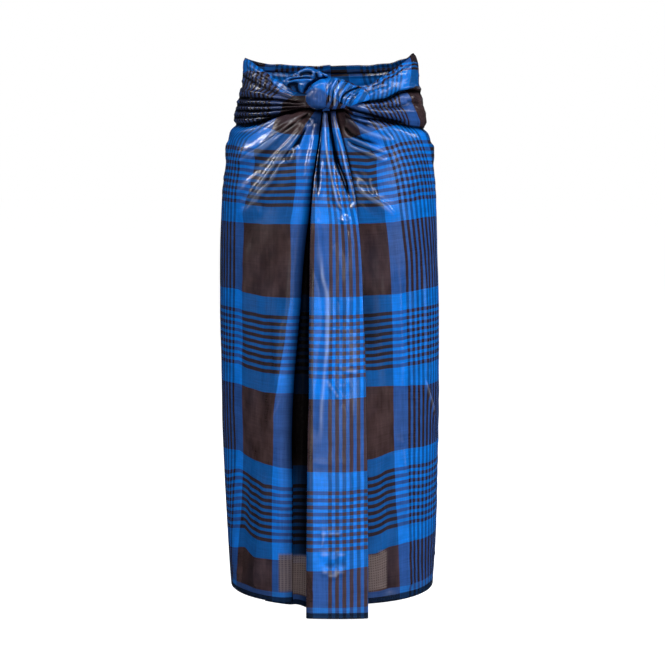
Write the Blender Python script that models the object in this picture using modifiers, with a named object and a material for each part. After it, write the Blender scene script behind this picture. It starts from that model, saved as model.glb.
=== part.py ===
"""Longyi: a wrapped tube sarong of checked cotton, tied at the front of the waist.

Metres, +Z up, front towards -Y, +X to the right of someone who looks at the front.
The origin is the middle of the waist, level with the knot.

The garment is one tube of cloth. The slack of the tube is brought to the front, folded
into a hanging pleat, and the upper edge is pulled tight from both sides, twisted and
tucked. Every stretch of the cloth that shows is its own thin wall:

  skirt_left    from the sewn seam at the back, round the left side, to the folded lip
  skirt_right   from the same seam, round the right side, to its turn behind the pleat
  front_pleat   valley floor, side wall, hanging front and turned right edge
  waist_left    gathered upper stretch, from the back seam to the knot
  waist_right   folded upper stretch, from the back seam to the knot
  knot_band     the twisted band that crosses the knot
  knot_lobe     the round lobe that the band turns over
  knot_tuck     the bunched end that is pushed in behind the knot
"""
import math

import bmesh
import bpy
import numpy as np

# ---------------------------------------------------------------- driving sizes
WALL = 0.0020            # thickness of every cloth wall
SEAM_GAP = 0.0007        # clear gap between two pieces at a seam
HEM_Z = -0.925           # hem level of the body
PLEAT_HEM_Z = -0.942     # the pleat hangs lower than the body
TUCK_UNDER = 0.011       # how far the skirt runs up behind the waist's lower edge
UNDERFOLD_LEFT = 0.066   # width of the cloth folded back behind the left lip
UNDERFOLD_RIGHT = 0.046  # width of the cloth folded back behind the pleat
LAYER = 0.0062           # spacing of the folded layers, middle to middle

# body sections: z, left x, right x, front y, back y, squareness of the oval
BODY = [
    # z       left     right    front    back    n
    (0.000, -0.1740, 0.1745, -0.1200, 0.118, 2.10),
    (-0.056, -0.1880, 0.1860, -0.1290, 0.126, 2.10),
    (-0.080, -0.1905, 0.1895, -0.1330, 0.130, 2.10),
    (-0.120, -0.1960, 0.1950, -0.1390, 0.136, 2.10),
    (-0.180, -0.2035, 0.2005, -0.1450, 0.143, 2.10),
    (-0.300, -0.2085, 0.2045, -0.1510, 0.151, 2.15),
    (-0.400, -0.2095, 0.2080, -0.1540, 0.156, 2.15),
    (-0.500, -0.2080, 0.2085, -0.1570, 0.160, 2.20),
    (-0.600, -0.2075, 0.2070, -0.1590, 0.164, 2.20),
    (-0.700, -0.2045, 0.2060, -0.1610, 0.168, 2.20),
    (-0.800, -0.2000, 0.2050, -0.1630, 0.173, 2.25),
    (-0.880, -0.1960, 0.2020, -0.1640, 0.177, 2.25),
    (-0.950, -0.1910, 0.2000, -0.1650, 0.180, 2.25),
]

# upper stretch: z, left x, right x, front y, back y, squareness
WAIST = [
    (0.090, -0.1600, 0.1580, -0.1040, 0.110, 2.05),
    (0.060, -0.1625, 0.1660, -0.1120, 0.113, 2.05),
    (0.030, -0.1635, 0.1665, -0.1200, 0.117, 2.05),
    (0.020, -0.1665, 0.1690, -0.1220, 0.118, 2.05),
    (0.000, -0.1720, 0.1735, -0.1260, 0.121, 2.05),
    (-0.030, -0.1790, 0.1800, -0.1300, 0.125, 2.05),
    (-0.060, -0.1840, 0.1840, -0.1320, 0.128, 2.05),
]

# the front of the skirt: z, x of the left lip, x of the pleat's left edge, x of its right
# edge, y of the pleat's front, depth of the valley floor behind the panel
FRONT = [
    # z       lip      pleat_l  pleat_r  pleat_y  floor
    (-0.010, -0.0130, -0.0090, 0.0080, -0.1270, 0.007),
    (-0.040, -0.0165, -0.0130, 0.0130, -0.1335, 0.008),
    (-0.077, -0.0210, -0.0170, 0.0230, -0.1430, 0.010),
    (-0.112, -0.0265, -0.0225, 0.0320, -0.1500, 0.012),
    (-0.148, -0.0320, -0.0280, 0.0400, -0.1550, 0.014),
    (-0.184, -0.0360, -0.0315, 0.0470, -0.1590, 0.017),
    (-0.220, -0.0400, -0.0335, 0.0510, -0.1610, 0.021),
    (-0.256, -0.0450, -0.0350, 0.0545, -0.1630, 0.025),
    (-0.310, -0.0505, -0.0360, 0.0580, -0.1660, 0.030),
    (-0.364, -0.0545, -0.0364, 0.0600, -0.1690, 0.032),
    (-0.430, -0.0605, -0.0372, 0.0630, -0.1720, 0.034),
    (-0.520, -0.0685, -0.0374, 0.0655, -0.1760, 0.034),
    (-0.620, -0.0725, -0.0400, 0.0674, -0.1800, 0.032),
    (-0.720, -0.0730, -0.0412, 0.0690, -0.1840, 0.028),
    (-0.830, -0.0735, -0.0425, 0.0700, -0.1880, 0.022),
    (-0.942, -0.0740, -0.0430, 0.0706, -0.1920, 0.016),
]

# lower edge of the upper stretch, seen from the front: x, z
CREASE = [
    (-0.185, -0.0460), (-0.160, -0.0460), (-0.130, -0.0410), (-0.100, -0.0310),
    (-0.070, -0.0230), (-0.040, -0.0180), (0.000, -0.0180), (0.022, -0.0200),
    (0.042, -0.0310), (0.069, -0.0360), (0.097, -0.0405), (0.125, -0.0450),
    (0.150, -0.0500), (0.187, -0.0530),
]

# upper edge of the waist at the front, left and right of the knot: x, z
TOP_LEFT = [
    (-0.163, 0.0776), (-0.147, 0.0676), (-0.135, 0.0587), (-0.123, 0.0503),
    (-0.1115, 0.0414), (-0.0985, 0.0327), (-0.0870, 0.0270), (-0.070, 0.0150),
    (-0.050, 0.0070), (-0.030, 0.0040),
]
TOP_RIGHT = [
    (0.020, 0.0040), (0.040, 0.0120), (0.060, 0.0170), (0.0758, 0.0240),
    (0.0867, 0.0314), (0.0995, 0.0390), (0.1125, 0.0476), (0.1278, 0.0578),
    (0.1420, 0.0687), (0.1504, 0.0764), (0.1600, 0.0868),
]
TOP_BACK_Z = 0.070       # upper edge at the middle of the back
WAIST_LEFT_END = -0.0088   # x at which the left stretch ends, inside the knot
WAIST_RIGHT_END = -0.0072  # x at which the right stretch ends, inside the knot

# soft upright folds of the skirt: angle round the oval in degrees (0 right, 90 back,
# 180 left, 270 front), height out, half width in degrees, z where it starts, z at full height
UPRIGHT = [
    # angle  height  width  start   full
    (18, 0.0035, 9, -0.15, -0.55),
    (47, 0.0050, 10, -0.10, -0.60),
    (70, -0.0045, 8, -0.12, -0.50),
    (96, 0.0055, 10, -0.08, -0.60),
    (123, -0.0040, 9, -0.12, -0.55),
    (150, 0.0050, 10, -0.10, -0.60),
    (176, -0.0025, 8, -0.25, -0.70),
]

# gathers of the upper stretches: how far down between top and lower edge (0..1),
# height out at the side, half width (0..1)
GATHER_LEFT = [(0.22, 0.0030, 0.10), (0.48, 0.0022, 0.08), (0.68, 0.0022, 0.08), (0.88, 0.0030, 0.08)]
GATHER_RIGHT = [(0.25, 0.0030, 0.10), (0.55, 0.0026, 0.09), (0.85, 0.0034, 0.12)]

# folds that fan out from the knot over the front: (x, z) from, (x, z) to, height out, half width
PLEAT_FOLDS = [
    ((-0.003, -0.055), (0.020, -0.195), 0.0040, 0.0060),
    ((0.013, -0.070), (0.040, -0.180), 0.0045, 0.0060),
    ((0.006, -0.070), (0.030, -0.175), -0.0060, 0.0055),
]
PANEL_FOLDS = [
    ((-0.050, -0.045), (-0.165, -0.110), 0.0045, 0.0110),
    ((-0.030, -0.055), (-0.165, -0.195), 0.0050, 0.0120),
    ((0.040, -0.045), (0.110, -0.070), 0.0040, 0.0100),
    ((0.035, -0.070), (0.110, -0.115), 0.0045, 0.0110),
    ((0.050, -0.150), (0.110, -0.215), 0.0040, 0.0110),
]

# ---------------------------------------------------------------- small helpers
def column(rows, z, k):
    """Column k of a table whose first column is z, read at z."""
    order = sorted(rows)
    return np.interp(z, [r[0] for r in order], [r[k] for r in order])


def oval(rows, z):
    left, right, front, back, n = (float(column(rows, z, k)) for k in range(1, 6))
    return (left + right) / 2, (front + back) / 2, (right - left) / 2, (back - front) / 2, n


def oval_point(rows, z, degrees):
    cx, cy, a, b, n = oval(rows, z)
    c, s = math.cos(math.radians(degrees)), math.sin(math.radians(degrees))
    return np.array([cx + a * math.copysign(abs(c) ** (2 / n), c),
                     cy + b * math.copysign(abs(s) ** (2 / n), s)])


def oval_angle(rows, z, x):
    """Angle, on the front half of the oval, of the point with this x."""
    lo, hi = 180.0, 360.0
    for _ in range(40):
        mid = (lo + hi) / 2
        if oval_point(rows, z, mid)[0] < x:
            lo = mid
        else:
            hi = mid
    return (lo + hi) / 2


def unit(v):
    return v / max(float(np.hypot(*v)), 1e-12)


def resample(points, fractions):
    """Points of a polyline at the given fractions of its length."""
    p = np.asarray(points, float)
    d = np.concatenate([[0.0], np.cumsum(np.hypot(*np.diff(p, axis=0).T))])
    t = np.asarray(fractions) * d[-1]
    return np.column_stack([np.interp(t, d, p[:, 0]), np.interp(t, d, p[:, 1])])


def smooth(a, b, x):
    t = min(max((x - a) / (b - a), 0.0), 1.0)
    return t * t * (3 - 2 * t)


def upright_folds(degrees, z):
    out = 0.0
    for angle, height, width, start, full in UPRIGHT:
        off = (degrees - angle + 180) % 360 - 180
        out += height * math.exp(-(off / width) ** 2) * smooth(-start, -full, -z)
    return out


def crease_z(x):
    return float(np.interp(x, [c[0] for c in CREASE], [c[1] for c in CREASE]))


def along(pts, nrm, d):
    """Point and normal at distance d back from the end of a path."""
    back = np.concatenate([[0.0], np.cumsum(np.hypot(*np.diff(pts[::-1], axis=0).T))])
    p = np.array([np.interp(d, back, pts[::-1, k]) for k in (0, 1)])
    n = np.array([np.interp(d, back, nrm[::-1, k]) for k in (0, 1)])
    return p, unit(n)


# ---------------------------------------------------------------- plan paths of the skirt
def body_point(z, degrees):
    """A point of the skirt's oval with its upright folds, and the outward direction there."""
    p = oval_point(BODY, z, degrees)
    cx, cy, a, b, _ = oval(BODY, z)
    n = unit((p - (cx, cy)) / np.array([a * a, b * b]))
    return p + n * upright_folds(degrees, z), n


def narrowing(z):
    """The hidden folds get narrow towards the knot."""
    return 0.22 + 0.78 * smooth(0.03, 0.30, -z)


def layer(z):
    """Spacing of the folded layers at this level."""
    return LAYER * (0.60 + 0.40 * narrowing(z))


def panel_path(z, x_edge, side, steps=61):
    """From the back seam round one side to x_edge on the front; side -1 left, +1 right."""
    edge = oval_angle(BODY, z, x_edge)
    angles = np.linspace(90, edge if side < 0 else edge - 360, steps)
    found = [body_point(z, a % 360) for a in angles]
    pts, nrm = np.array([f[0] for f in found]), np.array([f[1] for f in found])
    pts[0, 0] = side * SEAM_GAP / 2
    return pts, nrm


def left_path(z):
    """Panel to the lip, the turn, and the layer folded back behind the panel."""
    lip = float(column(FRONT, z, 1))
    pts, nrm = panel_path(z, lip, -1)
    width = UNDERFOLD_LEFT * narrowing(z)
    lay = layer(z)
    ahead = unit(pts[-1] - pts[-2])
    fold = [pts[-1] + ahead * 0.0010 - nrm[-1] * 0.25 * lay, pts[-1] + ahead * 0.0006 - nrm[-1] * 0.80 * lay]
    for d in (0.004, 0.36 * width, 0.68 * width, width):
        p, n = along(pts, nrm, d)
        fold.append(p - n * lay)
    return pts, np.array(fold)


def pleat_path(z):
    """Behind the left layers, valley floor, side wall, hanging front, turned right edge."""
    lip, pl, pr, py, floor = (float(column(FRONT, z, k)) for k in range(1, 6))
    pts, nrm = panel_path(z, lip, -1)
    lay = layer(z)
    width = UNDERFOLD_LEFT * narrowing(z)
    path = []
    for f in (1.0, 0.66, 0.33):
        p, n = along(pts, nrm, width * f)
        path.append(p - n * lay * 2.0)
    y_lip = pts[-1][1]
    y_floor = y_lip + max(floor, 2.15 * lay)
    span = pl - lip
    path.append(np.array([lip, y_lip + max(2.05 * lay, floor - 0.004)]))
    path.append(np.array([lip + 0.55 * span, y_floor]))
    path.append(np.array([pl + 0.0010, y_floor - 0.0035]))
    front = py + 0.0045
    path.append(np.array([pl + 0.0006, 0.5 * (y_floor - 0.0035) + 0.5 * front]))
    path.append(np.array([pl, front]))
    w = pr - pl
    path.append(np.array([pl + 0.06 * w, py + 0.0006]))
    for f in (0.2, 0.35, 0.5, 0.65, 0.8):
        path.append(np.array([pl + f * w, py - 0.0015 * math.sin(math.pi * f)]))
    path.append(np.array([pr - 0.05 * w, py + 0.0006]))
    path.append(np.array([pr, py + 0.0036]))
    path.append(np.array([pr - 0.05 * w, py + 0.0066]))
    under = min(UNDERFOLD_RIGHT * narrowing(z), 0.70 * w)
    path.append(np.array([pr - 0.5 * under, py + 0.0068]))
    path.append(np.array([pr - under, py + 0.0068]))
    return path


def right_path(z):
    """The layer behind the pleat, then the right panel round to the back seam."""
    lip, pl, pr, py, floor = (float(column(FRONT, z, k)) for k in range(1, 6))
    w = pr - pl
    under = min(UNDERFOLD_RIGHT * narrowing(z), 0.70 * w)
    pts, nrm = panel_path(z, pr + 0.010, +1)
    # near the pleat the panel goes in behind it
    y_in = py + 0.0068 + 0.0036
    for p in pts:
        near = 1.0 - smooth(0.004, 0.040, p[0] - pr) if p[1] < 0 else 0.0
        p[1] = max(p[1], p[1] + (y_in - p[1]) * near)
    y_in = max(y_in, pts[-1][1])
    fold = [np.array([pr - under, y_in]), np.array([pr - 0.5 * under, y_in]), np.array([pr, y_in])]
    return pts, np.array(fold)


def relief(folds, x, z):
    """Height of the slanting folds at a point of the front: distance out."""
    out = 0.0
    for a, b, height, width in folds:
        a, b = np.array(a), np.array(b)
        t = min(max(float(np.dot((x, z) - a, b - a) / np.dot(b - a, b - a)), 0.0), 1.0)
        d = math.hypot(*((x, z) - (a + t * (b - a))))
        out += height * math.exp(-(d / width) ** 2) * math.sin(math.pi * (0.15 + 0.7 * t))
    return out


# ---------------------------------------------------------------- grids
# the skirt's upper rows follow the sloping lower edge of the waist: distance from that
# edge, distance moved in behind it
TOP_ROWS = [(TUCK_UNDER, 0.0125), (-0.0015, 0.0100), (-0.0090, 0.0020), (-0.0170, 0.0)]
LOWER_Z = [-0.078, -0.100, -0.130, -0.165, -0.205, -0.255, -0.310, -0.370, -0.440, -0.520,
           -0.600, -0.680, -0.760, -0.840, -0.890]
SIDE_X = 0.170           # the lower edge keeps its level from here round the sides and back
LEVEL = -0.050           # mean level of the lower edge of the waist
FRONT_COLUMNS = 18       # columns of a panel from its side to its front edge


def edge_at(x, y):
    """Level of the waist's lower edge at a point of the plan."""
    side = crease_z(math.copysign(max(abs(x), SIDE_X), x)) if y > -0.02 else crease_z(x)
    return side + (LEVEL - side) * smooth(-0.03, 0.10, y)


def panel_row(side, z):
    """One level of the left or the right panel: the same columns at every level."""
    coarse, fine = np.linspace(0, 0.5, 8)[:-1], np.linspace(0.5, 1, FRONT_COLUMNS)
    pts, fold = left_path(z) if side < 0 else right_path(z)
    path = resample(pts, np.concatenate([coarse, fine]))
    return np.vstack([path, fold]) if side < 0 else np.vstack([path, fold[::-1]])


def follow(row_at, level, inward, start_z):
    """A row in which every column lies at its own level, level(x, y)."""
    out = []
    for c in range(len(row_at(start_z))):
        z = start_z
        for _ in range(4):
            x, y = row_at(z)[c]
            z = level(x, y)
        r = math.hypot(x, y)
        out.append((x * (1 - inward / r) if abs(x) > SEAM_GAP else x, y * (1 - inward / r), z))
    return out


def panel_grid(side):
    row_at = lambda z: panel_row(side, z)
    grid = [follow(row_at, lambda x, y: edge_at(x, y) + off, inward, LEVEL) for off, inward in TOP_ROWS]
    for z in LOWER_Z + [HEM_Z]:
        share = 1 - smooth(0.05, 0.20, -z)
        if share > 0:
            grid.append(follow(row_at, lambda x, y: z + (edge_at(x, y) - LEVEL) * share, 0.0, z))
        else:
            grid.append([(x, y, z) for x, y in row_at(z)])
    # the slanting folds lift the front of the panel, not the layer folded behind it
    shown = range(0, FRONT_COLUMNS + 6)
    for row in grid[2:]:
        for c in shown:
            x, y, z = row[c]
            if y < -0.02:
                out = relief(PANEL_FOLDS, x, z)
                r = math.hypot(x / 0.2, y / 0.15)
                row[c] = (x + out * (x / 0.2) / r, y + out * (y / 0.15) / r, z)
    return grid


def pleat_grid():
    rows = []
    levels = [-0.0245, -0.038, -0.052, -0.065] + LOWER_Z + [PLEAT_HEM_Z]
    for z in levels:
        row = []
        for i, (x, y) in enumerate(pleat_path(z)):
            lift = relief(PLEAT_FOLDS, x, z) if 8 <= i <= 14 else 0.0
            if i <= 5:
                # near the top the layers go in with the panel that they lie behind
                y += 0.0125 * smooth(-0.046, -0.026, z)
            z_here = z
            if z == PLEAT_HEM_Z and i < 8:
                z_here = HEM_Z - 0.006 - 0.011 * max(0, i - 4) / 3
            row.append((x, y - lift, z_here))
        rows.append(row)
    return rows


def waist_grid(side):
    """Upper stretch on one side, from the back seam to the knot, rows top to lower edge."""
    top = TOP_LEFT if side < 0 else TOP_RIGHT
    end = WAIST_LEFT_END if side < 0 else WAIST_RIGHT_END
    gathers = GATHER_LEFT if side < 0 else GATHER_RIGHT
    cols, levels = 17, 13
    grid = [[None] * cols for _ in range(levels)]
    for c in range(cols):
        f = c / (cols - 1)
        stop = oval_angle(WAIST, 0.0, end)
        angle = 90 + (stop - 90) * f if side < 0 else 90 - (90 + 360 - stop) * f
        for r in range(levels):
            v = r / (levels - 1)
            z = 0.01
            for _ in range(4):
                p = oval_point(WAIST, z, angle)
                edge_top = float(np.interp(p[0], [t[0] for t in top], [t[1] for t in top]))
                side_top = top[0][1] if side < 0 else top[-1][1]
                z_top = edge_top if p[1] <= 0 else side_top + (TOP_BACK_Z - side_top) * smooth(0.0, 0.11, p[1])
                z_low = edge_at(p[0], p[1])
                z = z_top + (z_low - z_top) * v
            cx, cy, a, b, n = oval(WAIST, z)
            nrm = unit((p - (cx, cy)) / np.array([a * a, b * b]))
            # gathers are deepest at the side and die out towards the back and the knot
            share = math.sin(math.pi * smooth(0.15, 1.0, f)) if f > 0.15 else 0.0
            out = sum(h * share * math.exp(-((v - g) / w) ** 2) for g, h, w in gathers)
            out -= 0.0030 * smooth(0.90, 1.0, v)
            out -= 0.0020 * smooth(0.06, 0.0, v) if v < 0.06 else 0.0
            q = p + nrm * out
            if c == 0:
                q[0] = side * SEAM_GAP / 2
            grid[r][c] = (q[0], q[1], z)
    return grid


# ---------------------------------------------------------------- Blender objects
def material(name, rgb, rough):
    m = bpy.data.materials.new(name)
    m.use_nodes = True
    p = m.node_tree.nodes["Principled BSDF"]
    p.inputs["Base Color"].default_value = (*rgb, 1.0)
    p.inputs["Roughness"].default_value = rough
    p.inputs["Metallic"].default_value = 0.0
    m.diffuse_color = (*rgb, 1.0)
    return m


def new_object(name, bm, mat, folder):
    mesh = bpy.data.meshes.new(name)
    bm.to_mesh(mesh)
    bm.free()
    mesh.materials.append(mat)
    mesh.shade_smooth()
    mesh.set_sharp_from_angle(angle=math.radians(50))
    obj = bpy.data.objects.new(name, mesh)
    folder.objects.link(obj)
    return obj


def cloth_wall(name, grid, mat, folder, flip=False):
    """An open sheet through the rows of a grid, thickened to the cloth wall."""
    bm = bmesh.new()
    verts = [[bm.verts.new(p) for p in row] for row in grid]
    for r in range(len(grid) - 1):
        for c in range(len(grid[0]) - 1):
            quad = (verts[r][c], verts[r + 1][c], verts[r + 1][c + 1], verts[r][c + 1])
            bm.faces.new(quad[::-1] if flip else quad)
    obj = new_object(name, bm, mat, folder)
    solid = obj.modifiers.new("wall", "SOLIDIFY")
    solid.thickness = WALL
    solid.offset = 0.0
    solid.use_even_offset = True
    solid.use_rim = True
    return obj


def rolled_body(name, stations, mat, folder, around=14):
    """A closed body lofted through oval stations.

    Each station: centre, across direction, up direction, half width, half height, ribs,
    rib height, turn in degrees.
    """
    bm = bmesh.new()
    rings = []
    for centre, across, up, hw, hh, ribs, rib, turn in stations:
        centre, across, up = np.array(centre), np.array(across), np.array(up)
        across, up = across / np.linalg.norm(across), up / np.linalg.norm(up)
        ring = []
        for i in range(around):
            t = 2 * math.pi * i / around
            k = 1 + rib * math.cos(ribs * t + math.radians(turn))
            ring.append(bm.verts.new(centre + across * hw * k * math.cos(t) + up * hh * k * math.sin(t)))
        rings.append(ring)
    for a, b in zip(rings, rings[1:]):
        for i in range(around):
            j = (i + 1) % around
            bm.faces.new((a[i], a[j], b[j], b[i]))
    bm.faces.new(rings[0][::-1])
    bm.faces.new(rings[-1])
    bmesh.ops.recalc_face_normals(bm, faces=bm.faces)
    return new_object(name, bm, mat, folder)


def main():
    for obj in list(bpy.data.objects):
        bpy.data.objects.remove(obj, do_unlink=True)
    folder = bpy.data.collections.new("longyi")
    bpy.context.scene.collection.children.link(folder)

    blue = (0.010, 0.110, 0.520)
    deep = (0.025, 0.045, 0.180)
    mats = {n: material("cotton_" + n, c, 0.38) for n, c in (
        ("skirt_left", blue), ("skirt_right", blue), ("front_pleat", deep), ("waist_left", deep),
        ("waist_right", blue), ("knot_band", blue), ("knot_lobe", deep), ("knot_tuck", blue))}

    cloth_wall("skirt_left", panel_grid(-1), mats["skirt_left"], folder, flip=True)
    cloth_wall("skirt_right", panel_grid(+1), mats["skirt_right"], folder)
    cloth_wall("front_pleat", pleat_grid(), mats["front_pleat"], folder, flip=True)
    cloth_wall("waist_left", waist_grid(-1), mats["waist_left"], folder, flip=True)
    cloth_wall("waist_right", waist_grid(+1), mats["waist_right"], folder)

    x, y, z = (1, 0, 0), (0, 1, 0), (0, 0, 1)
    # the band comes from the right stretch, widens, and turns down over the front of the knot
    rolled_body("knot_band", [
        ((0.0690, -0.1215, 0.0040), y, (-0.35, 0, 1), 0.0022, 0.0100, 4, 0.00, 0),
        ((0.0520, -0.1300, 0.0060), y, (-0.30, 0, 1), 0.0072, 0.0155, 5, 0.04, 0),
        ((0.0340, -0.1400, 0.0065), y, (-0.22, 0, 1), 0.0118, 0.0228, 5, 0.05, 20),
        ((0.0170, -0.1465, 0.0055), y, (-0.15, 0, 1), 0.0172, 0.0272, 5, 0.05, 40),
        ((0.0030, -0.1480, 0.0050), y, (-0.05, 0, 1), 0.0185, 0.0280, 5, 0.04, 60),
        ((-0.0060, -0.1480, 0.0055), y, (0, 0, 1), 0.0165, 0.0250, 5, 0.03, 70),
    ], mats["knot_band"], folder)
    rolled_body("knot_lobe", [
        ((-0.0066, -0.1480, 0.0050), y, (0, 0, 1), 0.0165, 0.0245, 4, 0.0, 0),
        ((-0.0140, -0.1482, 0.0030), y, (0.05, 0, 1), 0.0198, 0.0262, 4, 0.0, 0),
        ((-0.0240, -0.1472, 0.0010), y, (0.08, 0, 1), 0.0190, 0.0240, 4, 0.0, 0),
        ((-0.0330, -0.1445, -0.0005), y, (0.10, 0, 1), 0.0160, 0.0185, 4, 0.0, 0),
        ((-0.0400, -0.1405, 0.0000), y, (0.10, 0, 1), 0.0105, 0.0115, 4, 0.0, 0),
        ((-0.0430, -0.1385, 0.0000), y, (0.10, 0, 1), 0.0045, 0.0050, 4, 0.0, 0),
    ], mats["knot_lobe"], folder)
    rolled_body("knot_tuck", [
        ((-0.0830, -0.1170, 0.0285), y, (0, 0, 1), 0.0030, 0.0020, 3, 0.0, 0),
        ((-0.0700, -0.1230, 0.0262), y, (0, 0, 1), 0.0080, 0.0086, 3, 0.06, 0),
        ((-0.0560, -0.1270, 0.0292), y, (0, 0, 1), 0.0115, 0.0165, 3, 0.06, 0),
        ((-0.0460, -0.1290, 0.0330), y, (0, 0, 1), 0.0130, 0.0186, 3, 0.06, 0),
        ((-0.0370, -0.1310, 0.0385), y, (0, 0, 1), 0.0130, 0.0146, 3, 0.06, 0),
        ((-0.0280, -0.1320, 0.0390), y, (0, 0, 1), 0.0125, 0.0108, 3, 0.06, 0),
        ((-0.0170, -0.1320, 0.0388), y, (0, 0, 1), 0.0100, 0.0062, 3, 0.05, 0),
        ((-0.0060, -0.1310, 0.0374), y, (0, 0, 1), 0.0050, 0.0020, 3, 0.0, 0),
    ], mats["knot_tuck"], folder)


main()
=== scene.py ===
"""Worn longyi: the finish of the cloth, on the fixed frame.

Every stretch of cloth is rebuilt here as a thin shell on the form of its CAD solid, with
its creases placed one by one, and a woven check that runs in the cloth's own measure.
Metres, +Z up, front towards -Y, origin in the middle of the waist.
"""
import math

import bmesh
import bpy
import numpy as np
from mathutils import Matrix, Vector


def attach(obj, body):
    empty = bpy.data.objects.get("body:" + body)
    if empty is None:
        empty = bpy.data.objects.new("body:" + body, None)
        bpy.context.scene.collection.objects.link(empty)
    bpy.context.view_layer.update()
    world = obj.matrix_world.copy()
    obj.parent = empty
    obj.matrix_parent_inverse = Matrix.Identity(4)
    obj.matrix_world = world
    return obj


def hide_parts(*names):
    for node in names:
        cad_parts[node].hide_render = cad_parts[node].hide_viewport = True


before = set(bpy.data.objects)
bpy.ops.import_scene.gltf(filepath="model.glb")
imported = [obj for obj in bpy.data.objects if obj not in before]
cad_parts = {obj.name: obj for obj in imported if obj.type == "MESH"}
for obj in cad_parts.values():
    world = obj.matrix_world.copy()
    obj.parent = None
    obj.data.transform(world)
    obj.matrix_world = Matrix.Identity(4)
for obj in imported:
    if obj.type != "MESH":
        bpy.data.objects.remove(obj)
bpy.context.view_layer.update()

# ------------------------------------------------------------------ the form
# the same sizes as the solids
HEM_Z, PLEAT_HEM_Z, LEVEL, SIDE_X = -0.925, -0.942, -0.050, 0.170
UNDERFOLD_LEFT, UNDERFOLD_RIGHT, LAYER = 0.066, 0.046, 0.0062
TOP_BACK_Z, WAIST_LEFT_END, WAIST_RIGHT_END = 0.070, -0.0088, -0.0072

BODY = [  # z, left x, right x, front y, back y, squareness
    (0.000, -0.1740, 0.1745, -0.1200, 0.118, 2.10),
    (-0.056, -0.1880, 0.1860, -0.1290, 0.126, 2.10),
    (-0.080, -0.1905, 0.1895, -0.1330, 0.130, 2.10),
    (-0.120, -0.1960, 0.1950, -0.1390, 0.136, 2.10),
    (-0.180, -0.2035, 0.2005, -0.1450, 0.143, 2.10),
    (-0.300, -0.2085, 0.2045, -0.1510, 0.151, 2.15),
    (-0.400, -0.2095, 0.2080, -0.1540, 0.156, 2.15),
    (-0.500, -0.2080, 0.2085, -0.1570, 0.160, 2.20),
    (-0.600, -0.2075, 0.2070, -0.1590, 0.164, 2.20),
    (-0.700, -0.2045, 0.2060, -0.1610, 0.168, 2.20),
    (-0.800, -0.2000, 0.2050, -0.1630, 0.173, 2.25),
    (-0.880, -0.1960, 0.2020, -0.1640, 0.177, 2.25),
    (-0.950, -0.1910, 0.2000, -0.1650, 0.180, 2.25),
]
WAIST = [
    (0.090, -0.1600, 0.1580, -0.1040, 0.110, 2.05),
    (0.060, -0.1625, 0.1660, -0.1120, 0.113, 2.05),
    (0.030, -0.1635, 0.1665, -0.1200, 0.117, 2.05),
    (0.020, -0.1665, 0.1690, -0.1220, 0.118, 2.05),
    (0.000, -0.1720, 0.1735, -0.1260, 0.121, 2.05),
    (-0.030, -0.1790, 0.1800, -0.1300, 0.125, 2.05),
    (-0.060, -0.1840, 0.1840, -0.1320, 0.128, 2.05),
]
FRONT = [  # z, lip x, pleat's left x, pleat's right x, pleat's front y, depth of the valley floor
    (-0.010, -0.0130, -0.0090, 0.0080, -0.1270, 0.007),
    (-0.040, -0.0165, -0.0130, 0.0130, -0.1335, 0.008),
    (-0.077, -0.0210, -0.0170, 0.0230, -0.1430, 0.010),
    (-0.112, -0.0265, -0.0225, 0.0320, -0.1500, 0.012),
    (-0.148, -0.0320, -0.0280, 0.0400, -0.1550, 0.014),
    (-0.184, -0.0360, -0.0315, 0.0470, -0.1590, 0.017),
    (-0.220, -0.0400, -0.0335, 0.0510, -0.1610, 0.021),
    (-0.256, -0.0450, -0.0350, 0.0545, -0.1630, 0.025),
    (-0.310, -0.0505, -0.0360, 0.0580, -0.1660, 0.030),
    (-0.364, -0.0545, -0.0364, 0.0600, -0.1690, 0.032),
    (-0.430, -0.0605, -0.0372, 0.0630, -0.1720, 0.034),
    (-0.520, -0.0685, -0.0374, 0.0655, -0.1760, 0.034),
    (-0.620, -0.0725, -0.0400, 0.0674, -0.1800, 0.032),
    (-0.720, -0.0730, -0.0412, 0.0690, -0.1840, 0.028),
    (-0.830, -0.0735, -0.0425, 0.0700, -0.1880, 0.022),
    (-0.942, -0.0740, -0.0430, 0.0706, -0.1920, 0.016),
]
CREASE = [  # lower edge of the upper stretch, from the front: x, z
    (-0.185, -0.0460), (-0.160, -0.0460), (-0.130, -0.0410), (-0.100, -0.0310),
    (-0.070, -0.0230), (-0.040, -0.0180), (0.000, -0.0180), (0.022, -0.0200),
    (0.042, -0.0310), (0.069, -0.0360), (0.097, -0.0405), (0.125, -0.0450),
    (0.150, -0.0500), (0.187, -0.0530),
]
TOP_LEFT = [
    (-0.163, 0.0776), (-0.147, 0.0676), (-0.135, 0.0587), (-0.123, 0.0503),
    (-0.1115, 0.0414), (-0.0985, 0.0327), (-0.0870, 0.0270), (-0.070, 0.0150),
    (-0.050, 0.0070), (-0.030, 0.0040),
]
TOP_RIGHT = [
    (0.020, 0.0040), (0.040, 0.0120), (0.060, 0.0170), (0.0758, 0.0240),
    (0.0867, 0.0314), (0.0995, 0.0390), (0.1125, 0.0476), (0.1278, 0.0578),
    (0.1420, 0.0687), (0.1504, 0.0764), (0.1600, 0.0868),
]
UPRIGHT = [  # degrees round the oval, height out, half width, z where it starts, z at full height
    (18, 0.0035, 9, -0.15, -0.55),
    (47, 0.0050, 10, -0.10, -0.60),
    (70, -0.0045, 8, -0.12, -0.50),
    (96, 0.0055, 10, -0.08, -0.60),
    (123, -0.0040, 9, -0.12, -0.55),
    (150, 0.0050, 10, -0.10, -0.60),
    (176, -0.0025, 8, -0.25, -0.70),
]

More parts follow.
